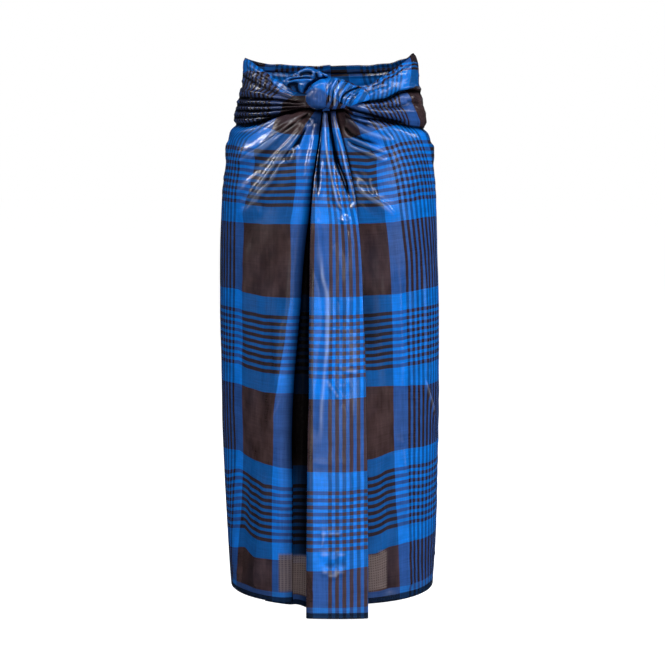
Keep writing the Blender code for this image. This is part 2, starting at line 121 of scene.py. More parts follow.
# ------------------------------------------------------------------ the creases
# Each: kind, height, half width where it starts and where it ends, share of its length over
# which it fades in and out, and the line it follows over the front (x, z).
SKIRT_LEFT_FOLDS = [
    ("swell", 0.0068, 0.0120, 0.0180, 0.15, 0.38, [
        (-0.0426, -0.0335), (-0.0715, -0.0513), (-0.1080, -0.0798), (-0.1454, -0.1049), (-0.1808, -0.1158)]),
    ("ridge", 0.0057, 0.0030, 0.0054, 0.10, 0.38, [
        (-0.0462, -0.0353), (-0.0553, -0.0406), (-0.0715, -0.0495), (-0.0897, -0.0637), (-0.1080, -0.0780),
        (-0.1266, -0.0923), (-0.1454, -0.1030), (-0.1568, -0.1103), (-0.1829, -0.1158)]),
    ("ridge", 0.0034, 0.0025, 0.0048, 0.20, 0.38, [
        (-0.0715, -0.0567), (-0.0897, -0.0709), (-0.1080, -0.0861), (-0.1265, -0.0995), (-0.1453, -0.1121),
        (-0.1587, -0.1230)]),
    ("valley", 0.0044, 0.0023, 0.0048, 0.20, 0.45, [
        (-0.0607, -0.0424), (-0.0806, -0.0530), (-0.0989, -0.0664), (-0.1228, -0.0851), (-0.1454, -0.0976)]),
    ("swell", 0.0074, 0.0110, 0.0200, 0.10, 0.38, [
        (-0.0300, -0.0354), (-0.0534, -0.0710), (-0.0805, -0.1121), (-0.1116, -0.1534), (-0.1452, -0.1881),
        (-0.1684, -0.2069)]),
    ("ridge", 0.0065, 0.0028, 0.0051, 0.08, 0.38, [
        (-0.0318, -0.0336), (-0.0462, -0.0568), (-0.0625, -0.0782), (-0.0769, -0.0942), (-0.0842, -0.0978),
        (-0.0970, -0.1175), (-0.1080, -0.1354), (-0.1190, -0.1517), (-0.1302, -0.1680), (-0.1452, -0.1808),
        (-0.1625, -0.1903), (-0.1783, -0.1963)]),
    ("ridge", 0.0065, 0.0025, 0.0051, 0.10, 0.38, [
        (-0.0606, -0.0782), (-0.0715, -0.0907), (-0.0806, -0.1032), (-0.0878, -0.1175), (-0.0951, -0.1336),
        (-0.1043, -0.1498), (-0.1172, -0.1642), (-0.1302, -0.1806), (-0.1415, -0.1934), (-0.1548, -0.2083),
        (-0.1684, -0.2196)]),
    ("valley", 0.0053, 0.0023, 0.0038, 0.10, 0.45, [
        (-0.0390, -0.0514), (-0.0570, -0.0800), (-0.0787, -0.1050), (-0.0915, -0.1228), (-0.1080, -0.1480),
        (-0.1265, -0.1697), (-0.1452, -0.1863)]),
    ("ridge", 0.0034, 0.0023, 0.0037, 0.15, 0.38, [
        (-0.0643, -0.0853), (-0.0697, -0.0978), (-0.0751, -0.1121), (-0.0715, -0.1157), (-0.0642, -0.1067),
        (-0.0588, -0.0925), (-0.0462, -0.0711)]),
    ("ridge", 0.0049, 0.0030, 0.0061, 0.08, 0.38, [
        (-0.0680, -0.0262), (-0.0880, -0.0323), (-0.1081, -0.0420), (-0.1229, -0.0499), (-0.1360, -0.0552),
        (-0.1551, -0.0594), (-0.1794, -0.0615)]),
    ("valley", 0.0066, 0.0023, 0.0042, 0.10, 0.45, [
        (-0.0607, -0.0245), (-0.0861, -0.0296), (-0.1082, -0.0366), (-0.1305, -0.0444), (-0.1552, -0.0493),
        (-0.1796, -0.0513)]),
    ("valley", 0.0057, 0.0018, 0.0048, 0.05, 0.45, [
        (-0.0372, -0.0282), (-0.0571, -0.0424), (-0.0806, -0.0602), (-0.1080, -0.0816)]),
    ("ridge", 0.0038, 0.0018, 0.0051, 0.05, 0.38, [
        (-0.0372, -0.0255), (-0.0589, -0.0361), (-0.0825, -0.0476), (-0.1044, -0.0600)]),
    ("ridge", 0.0042, 0.0021, 0.0068, 0.05, 0.40, [
        (-0.0282, -0.0354), (-0.0390, -0.0550), (-0.0480, -0.0764), (-0.0552, -0.1050), (-0.0588, -0.1389)]),
    ("valley", 0.0057, 0.0023, 0.0064, 0.05, 0.45, [
        (-0.0336, -0.0389), (-0.0462, -0.0621), (-0.0552, -0.0871), (-0.0642, -0.1121)]),
    ("swell", 0.0041, 0.0050, 0.0090, 0.05, 0.38, [
        (-0.0228, -0.0425), (-0.0282, -0.0764), (-0.0354, -0.1210), (-0.0426, -0.1656)]),
    ("ridge", 0.0030, 0.0034, 0.0068, 0.20, 0.40, [
        (-0.1228, -0.1265), (-0.1453, -0.1519), (-0.1644, -0.1667), (-0.1803, -0.1762)]),
    ("swell", 0.0047, 0.0120, 0.0160, 0.20, 0.38, [
        (-0.1228, -0.1931), (-0.1453, -0.2062), (-0.1724, -0.2161)]),
    ("swell", 0.0030, 0.0100, 0.0120, 0.30, 0.38, [
        (-0.1492, -0.2353), (-0.1532, -0.2937), (-0.1574, -0.3673), (-0.1598, -0.4412)]),
    ("swell", -0.0030, 0.0120, 0.0160, 0.30, 0.38, [
        (-0.1229, -0.2563), (-0.1195, -0.3469), (-0.1126, -0.4560), (-0.1056, -0.5844)]),
    ("swell", 0.0041, 0.0100, 0.0140, 0.30, 0.38, [
        (-0.0938, -0.3641), (-0.0960, -0.4735), (-0.1056, -0.5844), (-0.1136, -0.6967)]),
    ("swell", -0.0043, 0.0100, 0.0160, 0.20, 0.05, [
        (-0.1436, -0.6253), (-0.1538, -0.7024), (-0.1625, -0.7998), (-0.1697, -0.8905)]),
    ("swell", 0.0049, 0.0100, 0.0160, 0.20, 0.05, [
        (-0.1173, -0.6784), (-0.1254, -0.7733), (-0.1335, -0.8507), (-0.1378, -0.9095)]),
    ("ridge", 0.0009, 0.0011, 0.0017, 0.15, 0.38, [
        (-0.1155, -0.2399), (-0.1151, -0.2958), (-0.1144, -0.3649), (-0.1143, -0.4196)]),
    ("ridge", 0.0008, 0.0011, 0.0017, 0.20, 0.38, [
        (-0.1119, -0.2885), (-0.0972, -0.2871), (-0.0698, -0.2862)]),
    ("ridge", 0.0015, 0.0028, 0.0051, 0.25, 0.38, [
        (-0.0851, -0.5316), (-0.0926, -0.5541), (-0.1056, -0.5844), (-0.1246, -0.6381)]),
    ("ridge", 0.0008, 0.0011, 0.0017, 0.20, 0.38, [
        (-0.1498, -0.6827), (-0.1492, -0.7394), (-0.1486, -0.7964)]),
]
SKIRT_RIGHT_FOLDS = [
    ("ridge", 0.0057, 0.0025, 0.0051, 0.05, 0.38, [
        (0.0239, -0.0247), (0.0365, -0.0327), (0.0545, -0.0388), (0.0726, -0.0441), (0.0908, -0.0481),
        (0.1128, -0.0527)]),
    ("valley", 0.0057, 0.0021, 0.0045, 0.05, 0.45, [
        (0.0257, -0.0300), (0.0437, -0.0398), (0.0653, -0.0477), (0.0907, -0.0538)]),
    ("ridge", 0.0065, 0.0028, 0.0054, 0.10, 0.38, [
        (0.0257, -0.0354), (0.0365, -0.0425), (0.0454, -0.0505), (0.0617, -0.0612), (0.0816, -0.0682),
        (0.0999, -0.0735), (0.1238, -0.0779)]),
    ("swell", 0.0046, 0.0080, 0.0120, 0.10, 0.38, [
        (0.0293, -0.0371), (0.0545, -0.0585), (0.0907, -0.0745), (0.1276, -0.0832)]),
    ("valley", 0.0066, 0.0023, 0.0048, 0.08, 0.45, [
        (0.0257, -0.0514), (0.0364, -0.0657), (0.0544, -0.0746), (0.0761, -0.0817), (0.1017, -0.0906)]),
    ("ridge", 0.0065, 0.0025, 0.0051, 0.08, 0.38, [
        (0.0257, -0.0586), (0.0310, -0.0693), (0.0418, -0.0746), (0.0544, -0.0791), (0.0725, -0.0871),
        (0.0907, -0.0951), (0.1127, -0.1049)]),
    ("valley", 0.0048, 0.0016, 0.0029, 0.10, 0.45, [
        (0.0274, -0.0729), (0.0364, -0.0809), (0.0544, -0.0889), (0.0725, -0.0951), (0.0998, -0.1049),
        (0.1145, -0.1112)]),
    ("ridge", 0.0057, 0.0023, 0.0048, 0.10, 0.38, [
        (0.0292, -0.0764), (0.0364, -0.0862), (0.0544, -0.0951), (0.0725, -0.1023), (0.0907, -0.1103),
        (0.1126, -0.1184)]),
    ("swell", 0.0049, 0.0080, 0.0120, 0.10, 0.38, [
        (0.0274, -0.0657), (0.0544, -0.0853), (0.0870, -0.1032), (0.1163, -0.1175)]),
    ("ridge", 0.0057, 0.0028, 0.0054, 0.15, 0.38, [
        (0.0454, -0.1442), (0.0490, -0.1549), (0.0544, -0.1657), (0.0635, -0.1746), (0.0725, -0.1809),
        (0.0852, -0.1882), (0.0999, -0.1982), (0.1127, -0.2101), (0.1239, -0.2221)]),
    ("swell", 0.0057, 0.0090, 0.0140, 0.15, 0.38, [
        (0.0436, -0.1514), (0.0580, -0.1764), (0.0834, -0.1945), (0.1127, -0.2128), (0.1314, -0.2313)]),
    ("ridge", 0.0038, 0.0023, 0.0044, 0.25, 0.38, [
        (0.0689, -0.1407), (0.0725, -0.1514), (0.0761, -0.1658), (0.0798, -0.1801)]),
    ("swell", -0.0041, 0.0080, 0.0100, 0.20, 0.38, [
        (0.0400, -0.1121), (0.0472, -0.1299), (0.0653, -0.1514), (0.0907, -0.1694)]),
    ("swell", -0.0032, 0.0080, 0.0140, 0.25, 0.38, [
        (0.0872, -0.2556), (0.0910, -0.3460), (0.0987, -0.4554), (0.1065, -0.5845)]),
    ("swell", 0.0041, 0.0080, 0.0120, 0.25, 0.38, [
        (0.1240, -0.2745), (0.1280, -0.3656), (0.1322, -0.4757), (0.1327, -0.5868)]),
    ("swell", 0.0030, 0.0060, 0.0080, 0.25, 0.38, [
        (0.1737, -0.2769), (0.1780, -0.3694), (0.1826, -0.4816), (0.1836, -0.5951)]),
    ("swell", 0.0046, 0.0090, 0.0140, 0.20, 0.05, [
        (0.1367, -0.6245), (0.1411, -0.7375), (0.1455, -0.8329), (0.1480, -0.9102)]),
    ("swell", -0.0046, 0.0090, 0.0140, 0.20, 0.05, [
        (0.1030, -0.6398), (0.1052, -0.7330), (0.1093, -0.8271), (0.1135, -0.9149)]),
    ("ridge", 0.0027, 0.0028, 0.0044, 0.25, 0.38, [
        (0.1160, -0.6242), (0.1292, -0.6245), (0.1425, -0.6280)]),
    ("ridge", 0.0038, 0.0028, 0.0051, 0.20, 0.38, [
        (0.1747, -0.5082), (0.1831, -0.5419), (0.1940, -0.5754), (0.1990, -0.6102)]),
    ("ridge", 0.0027, 0.0028, 0.0051, 0.25, 0.38, [
        (0.1878, -0.8272), (0.1975, -0.8503), (0.2030, -0.8795)]),
]
PLEAT_RELIEF = [
    ("swell", 0.0050, 0.0050, 0.0070, 0.05, 0.20, [
        (-0.0084, -0.0445), (-0.0066, -0.0855), (-0.0012, -0.1298), (0.0077, -0.1742), (0.0202, -0.2044)]),
    ("ridge", 0.0040, 0.0022, 0.0026, 0.04, 0.10, [
        (-0.0084, -0.0258), (-0.0084, -0.0445), (-0.0079, -0.0677), (-0.0057, -0.0944), (-0.0012, -0.1210),
        (0.0023, -0.1387), (0.0059, -0.1564), (0.0095, -0.1706), (0.0139, -0.1866), (0.0202, -0.1981),
        (0.0291, -0.2044)]),
    ("swell", 0.0046, 0.0046, 0.0056, 0.05, 0.15, [
        (0.0113, -0.0588), (0.0202, -0.0908), (0.0309, -0.1334), (0.0416, -0.1724), (0.0452, -0.1884)]),
    ("ridge", 0.0036, 0.0020, 0.0024, 0.06, 0.10, [
        (0.0059, -0.0267), (0.0088, -0.0445), (0.0130, -0.0659), (0.0184, -0.0837), (0.0229, -0.0997),
        (0.0264, -0.1174), (0.0318, -0.1387), (0.0371, -0.1564), (0.0425, -0.1742), (0.0448, -0.1866),
        (0.0389, -0.1964), (0.0291, -0.2044)]),
    ("valley", 0.0100, 0.0020, 0.0032, 0.04, 0.22, [
        (-0.0013, -0.0258), (-0.0002, -0.0427), (0.0032, -0.0641), (0.0077, -0.0908), (0.0121, -0.1121),
        (0.0202, -0.1334), (0.0273, -0.1529), (0.0327, -0.1724), (0.0345, -0.1866)]),
    ("valley", 0.0060, 0.0018, 0.0030, 0.04, 0.40, [
        (0.0123, -0.0267), (0.0177, -0.0427), (0.0245, -0.0624), (0.0309, -0.0837), (0.0363, -0.1086)]),
    ("ridge", 0.0018, 0.0016, 0.0018, 0.25, 0.25, [
        (0.0157, -0.1334), (0.0202, -0.1476), (0.0255, -0.1653), (0.0327, -0.1884)]),
    ("swell", 0.0040, 0.0060, 0.0080, 0.20, 0.35, [
        (0.0220, -0.2008), (0.0273, -0.2186), (0.0309, -0.2453), (0.0327, -0.2899)]),
    ("ridge", 0.0018, 0.0026, 0.0030, 0.25, 0.25, [
        (0.0130, -0.2133), (0.0220, -0.2204), (0.0309, -0.2195), (0.0380, -0.2133)]),
    ("valley", 0.0060, 0.0020, 0.0030, 0.04, 0.30, [
        (-0.0142, -0.0267), (-0.0142, -0.0374), (-0.0165, -0.0677), (-0.0191, -0.1032), (-0.0209, -0.1476),
        (-0.0227, -0.1919)]),
    ("swell", 0.0030, 0.0070, 0.0110, 0.15, 0.20, [
        (-0.0245, -0.1919), (-0.0227, -0.2275), (-0.0191, -0.2720), (-0.0138, -0.3167), (-0.0066, -0.3435),
        (-0.0031, -0.3703), (-0.0031, -0.4152), (-0.0067, -0.4512), (-0.0139, -0.5415), (-0.0176, -0.6141),
        (-0.0212, -0.6651)]),
    ("ridge", 0.0010, 0.0040, 0.0050, 0.15, 0.25, [
        (-0.0236, -0.2097), (-0.0191, -0.2720), (-0.0138, -0.3167), (-0.0058, -0.3471), (-0.0031, -0.3793),
        (-0.0049, -0.4422), (-0.0130, -0.5415), (-0.0185, -0.6323)]),
    ("swell", 0.0024, 0.0060, 0.0090, 0.20, 0.25, [
        (0.0327, -0.2221), (0.0345, -0.2720), (0.0346, -0.3435), (0.0328, -0.4242)]),
    ("swell", -0.0030, 0.0070, 0.0100, 0.25, 0.25, [
        (0.0113, -0.2453), (0.0131, -0.3256), (0.0149, -0.4152), (0.0095, -0.5234)]),
    ("swell", 0.0020, 0.0080, 0.0100, 0.25, 0.25, [
        (0.0293, -0.5234), (0.0330, -0.5959), (0.0367, -0.6870), (0.0367, -0.7603)]),
    ("ridge", 0.0044, 0.0020, 0.0026, 0.20, 0.15, [
        (0.0131, -0.4810), (0.0275, -0.4855), (0.0419, -0.4891), (0.0563, -0.4918)]),
    ("ridge", 0.0022, 0.0014, 0.0014, 0.15, 0.15, [
        (0.0131, -0.3596), (0.0310, -0.3582), (0.0543, -0.3582)]),
    ("ridge", 0.0030, 0.0030, 0.0036, 0.20, 0.25, [
        (-0.0067, -0.5017), (0.0005, -0.5144), (0.0095, -0.5270), (0.0203, -0.5433)]),
    ("ridge", 0.0026, 0.0026, 0.0030, 0.20, 0.25, [
        (0.0113, -0.5035), (0.0203, -0.5144), (0.0365, -0.5198)]),
    ("ridge", 0.0030, 0.0015, 0.0015, 0.15, 0.10, [
        (-0.0320, -0.6542), (-0.0104, -0.6545), (0.0113, -0.6534), (0.0511, -0.6534)]),
    ("ridge", 0.0030, 0.0024, 0.0030, 0.25, 0.25, [
        (-0.0195, -0.7805), (-0.0068, -0.7851), (0.0077, -0.7832), (0.0277, -0.7878)]),
    ("ridge", 0.0034, 0.0026, 0.0032, 0.25, 0.25, [
        (-0.0250, -0.8256), (-0.0104, -0.8219), (0.0059, -0.8274), (0.0223, -0.8228), (0.0368, -0.8256)]),
    ("ridge", 0.0036, 0.0026, 0.0032, 0.25, 0.25, [
        (-0.0214, -0.8597), (-0.0086, -0.8551), (0.0041, -0.8625), (0.0186, -0.8542), (0.0350, -0.8579)]),
    ("valley", 0.0030, 0.0026, 0.0030, 0.25, 0.25, [
        (-0.0177, -0.8422), (0.0005, -0.8449), (0.0186, -0.8394), (0.0332, -0.8431)]),
    ("ridge", 0.0026, 0.0022, 0.0028, 0.25, 0.25, [
        (0.0059, -0.8339), (0.0114, -0.8449), (0.0095, -0.8579), (0.0150, -0.8690)]),
    ("ridge", 0.0022, 0.0022, 0.0028, 0.25, 0.25, [
        (-0.0159, -0.8136), (-0.0122, -0.7970), (-0.0140, -0.7750)]),
]
WAIST_LEFT_FOLDS = [
    ("ridge", 0.0016, 0.0020, 0.0020, 0.10, 0.10, [
        (-0.1551, 0.0662), (-0.1350, 0.0515), (-0.1159, 0.0387), (-0.0972, 0.0245), (-0.0788, 0.0123),
        (-0.0570, 0.0013)]),
    ("valley", 0.0016, 0.0016, 0.0016, 0.10, 0.10, [
        (-0.1550, 0.0588), (-0.1350, 0.0451), (-0.1159, 0.0323), (-0.0972, 0.0190), (-0.0788, 0.0087),
        (-0.0570, -0.0014)]),
    ("ridge", 0.0018, 0.0018, 0.0018, 0.15, 0.10, [
        (-0.1428, 0.0447), (-0.1272, 0.0337), (-0.1121, 0.0240), (-0.0953, 0.0154), (-0.0770, 0.0060),
        (-0.0570, -0.0032)]),
    ("valley", 0.0036, 0.0018, 0.0016, 0.08, 0.10, [
        (-0.1665, 0.0480), (-0.1507, 0.0362), (-0.1348, 0.0259), (-0.1195, 0.0179), (-0.1045, 0.0111),
        (-0.0861, 0.0035), (-0.0606, -0.0050)]),
    ("ridge", 0.0016, 0.0016, 0.0016, 0.20, 0.15, [
        (-0.1389, 0.0499), (-0.1311, 0.0385), (-0.1234, 0.0272)]),
    ("ridge", 0.0014, 0.0016, 0.0016, 0.20, 0.20, [
        (-0.1468, 0.0524), (-0.1388, 0.0408), (-0.1329, 0.0295)]),
    ("swell", 0.0040, 0.0036, 0.0026, 0.05, 0.10, [
        (-0.1722, 0.0202), (-0.1544, 0.0151), (-0.1385, 0.0114), (-0.1232, 0.0085), (-0.1082, 0.0039),
        (-0.0897, -0.0001), (-0.0679, -0.0049), (-0.0462, -0.0096)]),
    ("ridge", 0.0016, 0.0016, 0.0014, 0.10, 0.15, [
        (-0.1678, 0.0132), (-0.1462, 0.0088), (-0.1232, 0.0049), (-0.1045, 0.0011), (-0.0861, -0.0025)]),
    ("valley", 0.0066, 0.0022, 0.0018, 0.05, 0.08, [
        (-0.1760, 0.0035), (-0.1560, 0.0003), (-0.1364, -0.0016), (-0.1175, -0.0022), (-0.0971, -0.0041),
        (-0.0715, -0.0072), (-0.0444, -0.0110)]),
    ("swell", 0.0036, 0.0030, 0.0022, 0.08, 0.10, [
        (-0.1742, -0.0030), (-0.1539, -0.0053), (-0.1344, -0.0071), (-0.1156, -0.0082), (-0.0971, -0.0098),
        (-0.0715, -0.0116), (-0.0444, -0.0131)]),
    ("valley", 0.0060, 0.0020, 0.0016, 0.05, 0.08, [
        (-0.1780, -0.0086), (-0.1538, -0.0118), (-0.1344, -0.0129), (-0.1118, -0.0137), (-0.0897, -0.0139),
        (-0.0660, -0.0144), (-0.0426, -0.0146)]),
    ("swell", 0.0038, 0.0030, 0.0022, 0.08, 0.10, [
        (-0.1780, -0.0142), (-0.1577, -0.0166), (-0.1382, -0.0183), (-0.1174, -0.0184), (-0.0970, -0.0181),
        (-0.0715, -0.0172), (-0.0426, -0.0162)]),
    ("valley", 0.0060, 0.0020, 0.0016, 0.05, 0.08, [
        (-0.1818, -0.0207), (-0.1557, -0.0224), (-0.1324, -0.0231), (-0.1118, -0.0231), (-0.0897, -0.0220),
        (-0.0660, -0.0197), (-0.0408, -0.0176)]),
    ("swell", 0.0036, 0.0028, 0.0022, 0.08, 0.10, [
        (-0.1800, -0.0274), (-0.1596, -0.0286), (-0.1419, -0.0283), (-0.1230, -0.0281), (-0.1044, -0.0270),
        (-0.0879, -0.0254), (-0.0642, -0.0223), (-0.0408, -0.0190)]),
    ("valley", 0.0058, 0.0020, 0.0016, 0.05, 0.08, [
        (-0.1838, -0.0337), (-0.1575, -0.0344), (-0.1343, -0.0340), (-0.1136, -0.0326), (-0.0934, -0.0296),
        (-0.0679, -0.0246), (-0.0408, -0.0205)]),
    ("swell", 0.0034, 0.0028, 0.0022, 0.08, 0.10, [
        (-0.1820, -0.0393), (-0.1595, -0.0394), (-0.1400, -0.0389), (-0.1230, -0.0371), (-0.1044, -0.0342),
        (-0.0860, -0.0301), (-0.0624, -0.0246), (-0.0390, -0.0216)]),
]
WAIST_RIGHT_FOLDS = [
    ("ridge", 0.0018, 0.0020, 0.0020, 0.10, 0.10, [
        (0.0762, 0.0195), (0.0908, 0.0288), (0.1056, 0.0382), (0.1205, 0.0478), (0.1357, 0.0586),
        (0.1496, 0.0690)]),
    ("valley", 0.0016, 0.0016, 0.0016, 0.10, 0.10, [
        (0.0725, 0.0140), (0.0908, 0.0242), (0.1056, 0.0328), (0.1205, 0.0424), (0.1357, 0.0522),
        (0.1514, 0.0617)]),
    ("ridge", 0.0030, 0.0026, 0.0030, 0.10, 0.35, [
        (0.0400, -0.0034), (0.0544, -0.0018), (0.0653, 0.0012), (0.0761, 0.0069), (0.0871, 0.0143),
        (0.0981, 0.0208)]),
    ("valley", 0.0024, 0.0020, 0.0026, 0.15, 0.35, [
        (0.0653, 0.0085), (0.0762, 0.0123), (0.0889, 0.0170), (0.1055, 0.0219)]),
    ("swell", 0.0030, 0.0060, 0.0100, 0.10, 0.30, [
        (0.0436, 0.0002), (0.0689, 0.0041), (0.0981, 0.0118), (0.1280, 0.0254)]),
    ("valley", 0.0078, 0.0028, 0.0030, 0.04, 0.10, [
        (0.0292, -0.0123), (0.0400, -0.0094), (0.0544, -0.0082), (0.0725, -0.0081), (0.0907, -0.0064),
        (0.1054, -0.0025), (0.1165, 0.0032), (0.1278, 0.0090), (0.1431, 0.0133), (0.1591, 0.0144),
        (0.1747, 0.0137)]),
    ("ridge", 0.0030, 0.0022, 0.0026, 0.06, 0.20, [
        (0.0310, -0.0168), (0.0436, -0.0133), (0.0616, -0.0128), (0.0816, -0.0130), (0.0999, -0.0123)]),
    ("ridge", 0.0036, 0.0026, 0.0030, 0.20, 0.06, [
        (0.1241, 0.0152), (0.1355, 0.0188), (0.1491, 0.0207), (0.1635, 0.0205), (0.1766, 0.0183)]),
    ("swell", 0.0040, 0.0070, 0.0100, 0.08, 0.15, [
        (0.0328, -0.0177), (0.0580, -0.0220), (0.0870, -0.0253), (0.1165, -0.0257), (0.1467, -0.0249),
        (0.1729, -0.0255)]),
    ("valley", 0.0028, 0.0022, 0.0030, 0.15, 0.30, [
        (0.0652, -0.0174), (0.0870, -0.0186), (0.1091, -0.0177), (0.1315, -0.0145), (0.1507, -0.0083)]),
    ("ridge", 0.0020, 0.0020, 0.0024, 0.20, 0.25, [
        (0.0907, -0.0118), (0.1017, -0.0098), (0.1146, -0.0102), (0.1296, -0.0127)]),
    ("ridge", 0.0020, 0.0022, 0.0024, 0.20, 0.25, [
        (0.1508, 0.0036), (0.1608, 0.0006), (0.1716, -0.0030)]),
    ("valley", 0.0024, 0.0020, 0.0024, 0.20, 0.20, [
        (0.1391, -0.0061), (0.1527, -0.0069), (0.1669, -0.0079)]),
    ("ridge", 0.0018, 0.0022, 0.0026, 0.25, 0.25, [
        (0.1546, -0.0100), (0.1645, -0.0205), (0.1727, -0.0329)]),
    ("valley", 0.0062, 0.0022, 0.0026, 0.05, 0.25, [
        (0.0292, -0.0186), (0.0472, -0.0247), (0.0689, -0.0303), (0.0980, -0.0371), (0.1276, -0.0432),
        (0.1505, -0.0467)]),
]
# The same on the sides and the back, which nobody sees in front: degrees round, z.
BACK_FOLDS_LEFT = [
    ("ridge", .0026, .0030, .0034, .15, .35, [(196, -.074), (180, -.088), (160, -.112), (138, -.150)]),
    ("swell", .0040, .012, .018, .15, .35, [(198, -.080), (178, -.098), (156, -.125), (132, -.170)]),
    ("ridge", .0022, .0030, .0036, .20, .35, [(186, -.130), (168, -.160), (150, -.205), (136, -.250)]),
    ("swell", .0036, .014, .020, .20, .30, [(182, -.150), (164, -.190), (146, -.250), (128, -.330)]),
    ("ridge", .0020, .0030, .0040, .15, .40, [(158, -.062), (142, -.080), (126, -.112), (110, -.160)]),
    ("ridge", .0022, .0028, .0034, .15, .40, [(112, -.060), (108, -.090), (101, -.135), (97, -.200)]),
    ("swell", .0034, .012, .016, .15, .40, [(116, -.060), (112, -.100), (105, -.170), (100, -.260)]),
    ("ridge", .0016, .0030, .0036, .25, .35, [(170, -.300), (160, -.345), (149, -.410)]),
    ("ridge", .0014, .0030, .0036, .25, .35, [(140, -.420), (130, -.455), (122, -.520)]),
    ("swell", -.0030, .014, .018, .25, .05, [(108, -.450), (109, -.600), (110, -.760), (110, -.920)]),
    ("swell", .0034, .014, .018, .25, .05, [(165, -.480), (166, -.620), (167, -.780), (168, -.920)]),
    ("ridge", .0024, .0028, .0034, .12, .40, [(134, -.060), (127, -.078), (118, -.104), (109, -.142), (103, -.190)]),
    ("valley", .0020, .0024, .0032, .12, .40, [(128, -.060), (121, -.082), (113, -.112), (106, -.152)]),
    ("ridge", .0020, .0026, .0034, .15, .40, [(98, -.060), (96, -.084), (93, -.120), (92, -.165)]),
    ("swell", .0046, .018, .026, .20, .10, [(139, -.230), (134, -.400), (131, -.600), (129, -.800), (128, -.930)]),
    ("swell", -.0036, .016, .024, .20, .10, [(121, -.200), (119, -.380), (118, -.600), (118, -.800), (118, -.930)]),
    ("swell", .0040, .016, .026, .25, .05, [(100, -.280), (101, -.460), (101, -.680), (100, -.930)]),
    ("ridge", .0016, .0026, .0030, .25, .35, [(150, -.565), (142, -.590), (132, -.640)]),
    ("ridge", .0014, .0026, .0030, .25, .35, [(112, -.330), (105, -.352), (97, -.400)]),
]
BACK_FOLDS_RIGHT = [
    ("ridge", .0026, .0030, .0034, .15, .35, [(-16, -.078), (2, -.094), (20, -.122), (40, -.165)]),
    ("swell", .0040, .012, .018, .15, .35, [(-18, -.084), (4, -.104), (24, -.138), (46, -.190)]),
    ("ridge", .0020, .0030, .0036, .20, .35, [(-6, -.140), (12, -.175), (30, -.225), (46, -.290)]),
    ("swell", .0034, .014, .020, .20, .30, [(-2, -.160), (16, -.205), (36, -.270), (52, -.350)]),
    ("ridge", .0022, .0030, .0040, .15, .40, [(24, -.062), (38, -.082), (54, -.118), (68, -.175)]),
    ("ridge", .0020, .0028, .0034, .15, .40, [(70, -.060), (73, -.092), (79, -.140), (83, -.210)]),
    ("swell", .0032, .012, .016, .15, .40, [(66, -.060), (70, -.100), (76, -.170), (81, -.250)]),
    ("ridge", .0016, .0030, .0036, .25, .35, [(12, -.340), (22, -.390), (32, -.460)]),
    ("ridge", .0014, .0030, .0036, .25, .35, [(40, -.450), (50, -.490), (58, -.560)]),
    ("swell", -.0030, .014, .018, .25, .05, [(28, -.450), (29, -.600), (30, -.760), (31, -.920)]),
    ("swell", .0032, .014, .018, .25, .05, [(2, -.480), (2, -.620), (3, -.780), (4, -.920)]),
    ("ridge", .0024, .0028, .0034, .12, .40, [(48, -.060), (55, -.080), (63, -.108), (71, -.148), (76, -.198)]),
    ("valley", .0020, .0024, .0032, .12, .40, [(54, -.060), (61, -.084), (68, -.116), (74, -.158)]),
    ("ridge", .0018, .0026, .0034, .15, .40, [(84, -.060), (86, -.088), (88, -.130), (88.5, -.176)]),
    ("swell", .0044, .018, .026, .20, .10, [(46, -.250), (50, -.420), (52, -.620), (54, -.800), (55, -.930)]),
    ("swell", -.0034, .016, .024, .20, .10, [(64, -.220), (66, -.400), (66, -.600), (65, -.800), (65, -.930)]),
    ("swell", .0038, .016, .026, .25, .05, [(80, -.300), (79, -.480), (78, -.700), (78, -.930)]),
    ("ridge", .0016, .0026, .0030, .25, .35, [(36, -.620), (44, -.648), (54, -.700)]),
    ("ridge", .0014, .0026, .0030, .25, .35, [(70, -.352), (77, -.372), (85, -.430)]),
]
BACK_WAIST_LEFT = [
    ("ridge", .0030, .0026, .0030, .05, .20, [(196, .034), (176, .034), (152, .028), (128, .020), (108, .016)]),
    ("ridge", .0030, .0024, .0030, .05, .25, [(197, .010), (178, .012), (158, .006), (134, .002), (114, -.004)]),
    ("ridge", .0030, .0024, .0030, .05, .20, [(198, -.006), (180, -.004), (156, -.008), (130, -.012), (104, -.018)]),
    ("ridge", .0028, .0024, .0030, .05, .20, [(198, -.022), (178, -.022), (152, -.024), (124, -.028), (100, -.032)]),
    ("valley", .0040, .0024, .0030, .05, .20, [(196, .022), (176, .023), (152, .018), (126, .012), (106, .006)]),
    ("valley", .0040, .0024, .0030, .05, .20, [(198, .002), (178, .004), (154, -.001), (128, -.006), (104, -.012)]),
    ("valley", .0038, .0024, .0030, .05, .20, [(198, -.014), (178, -.013), (152, -.016), (126, -.020), (102, -.025)]),
    ("valley", .0010, .0022, .0028, .10, .10, [(196, .056), (172, .054), (146, .050), (120, .048), (94, .048)]),
]
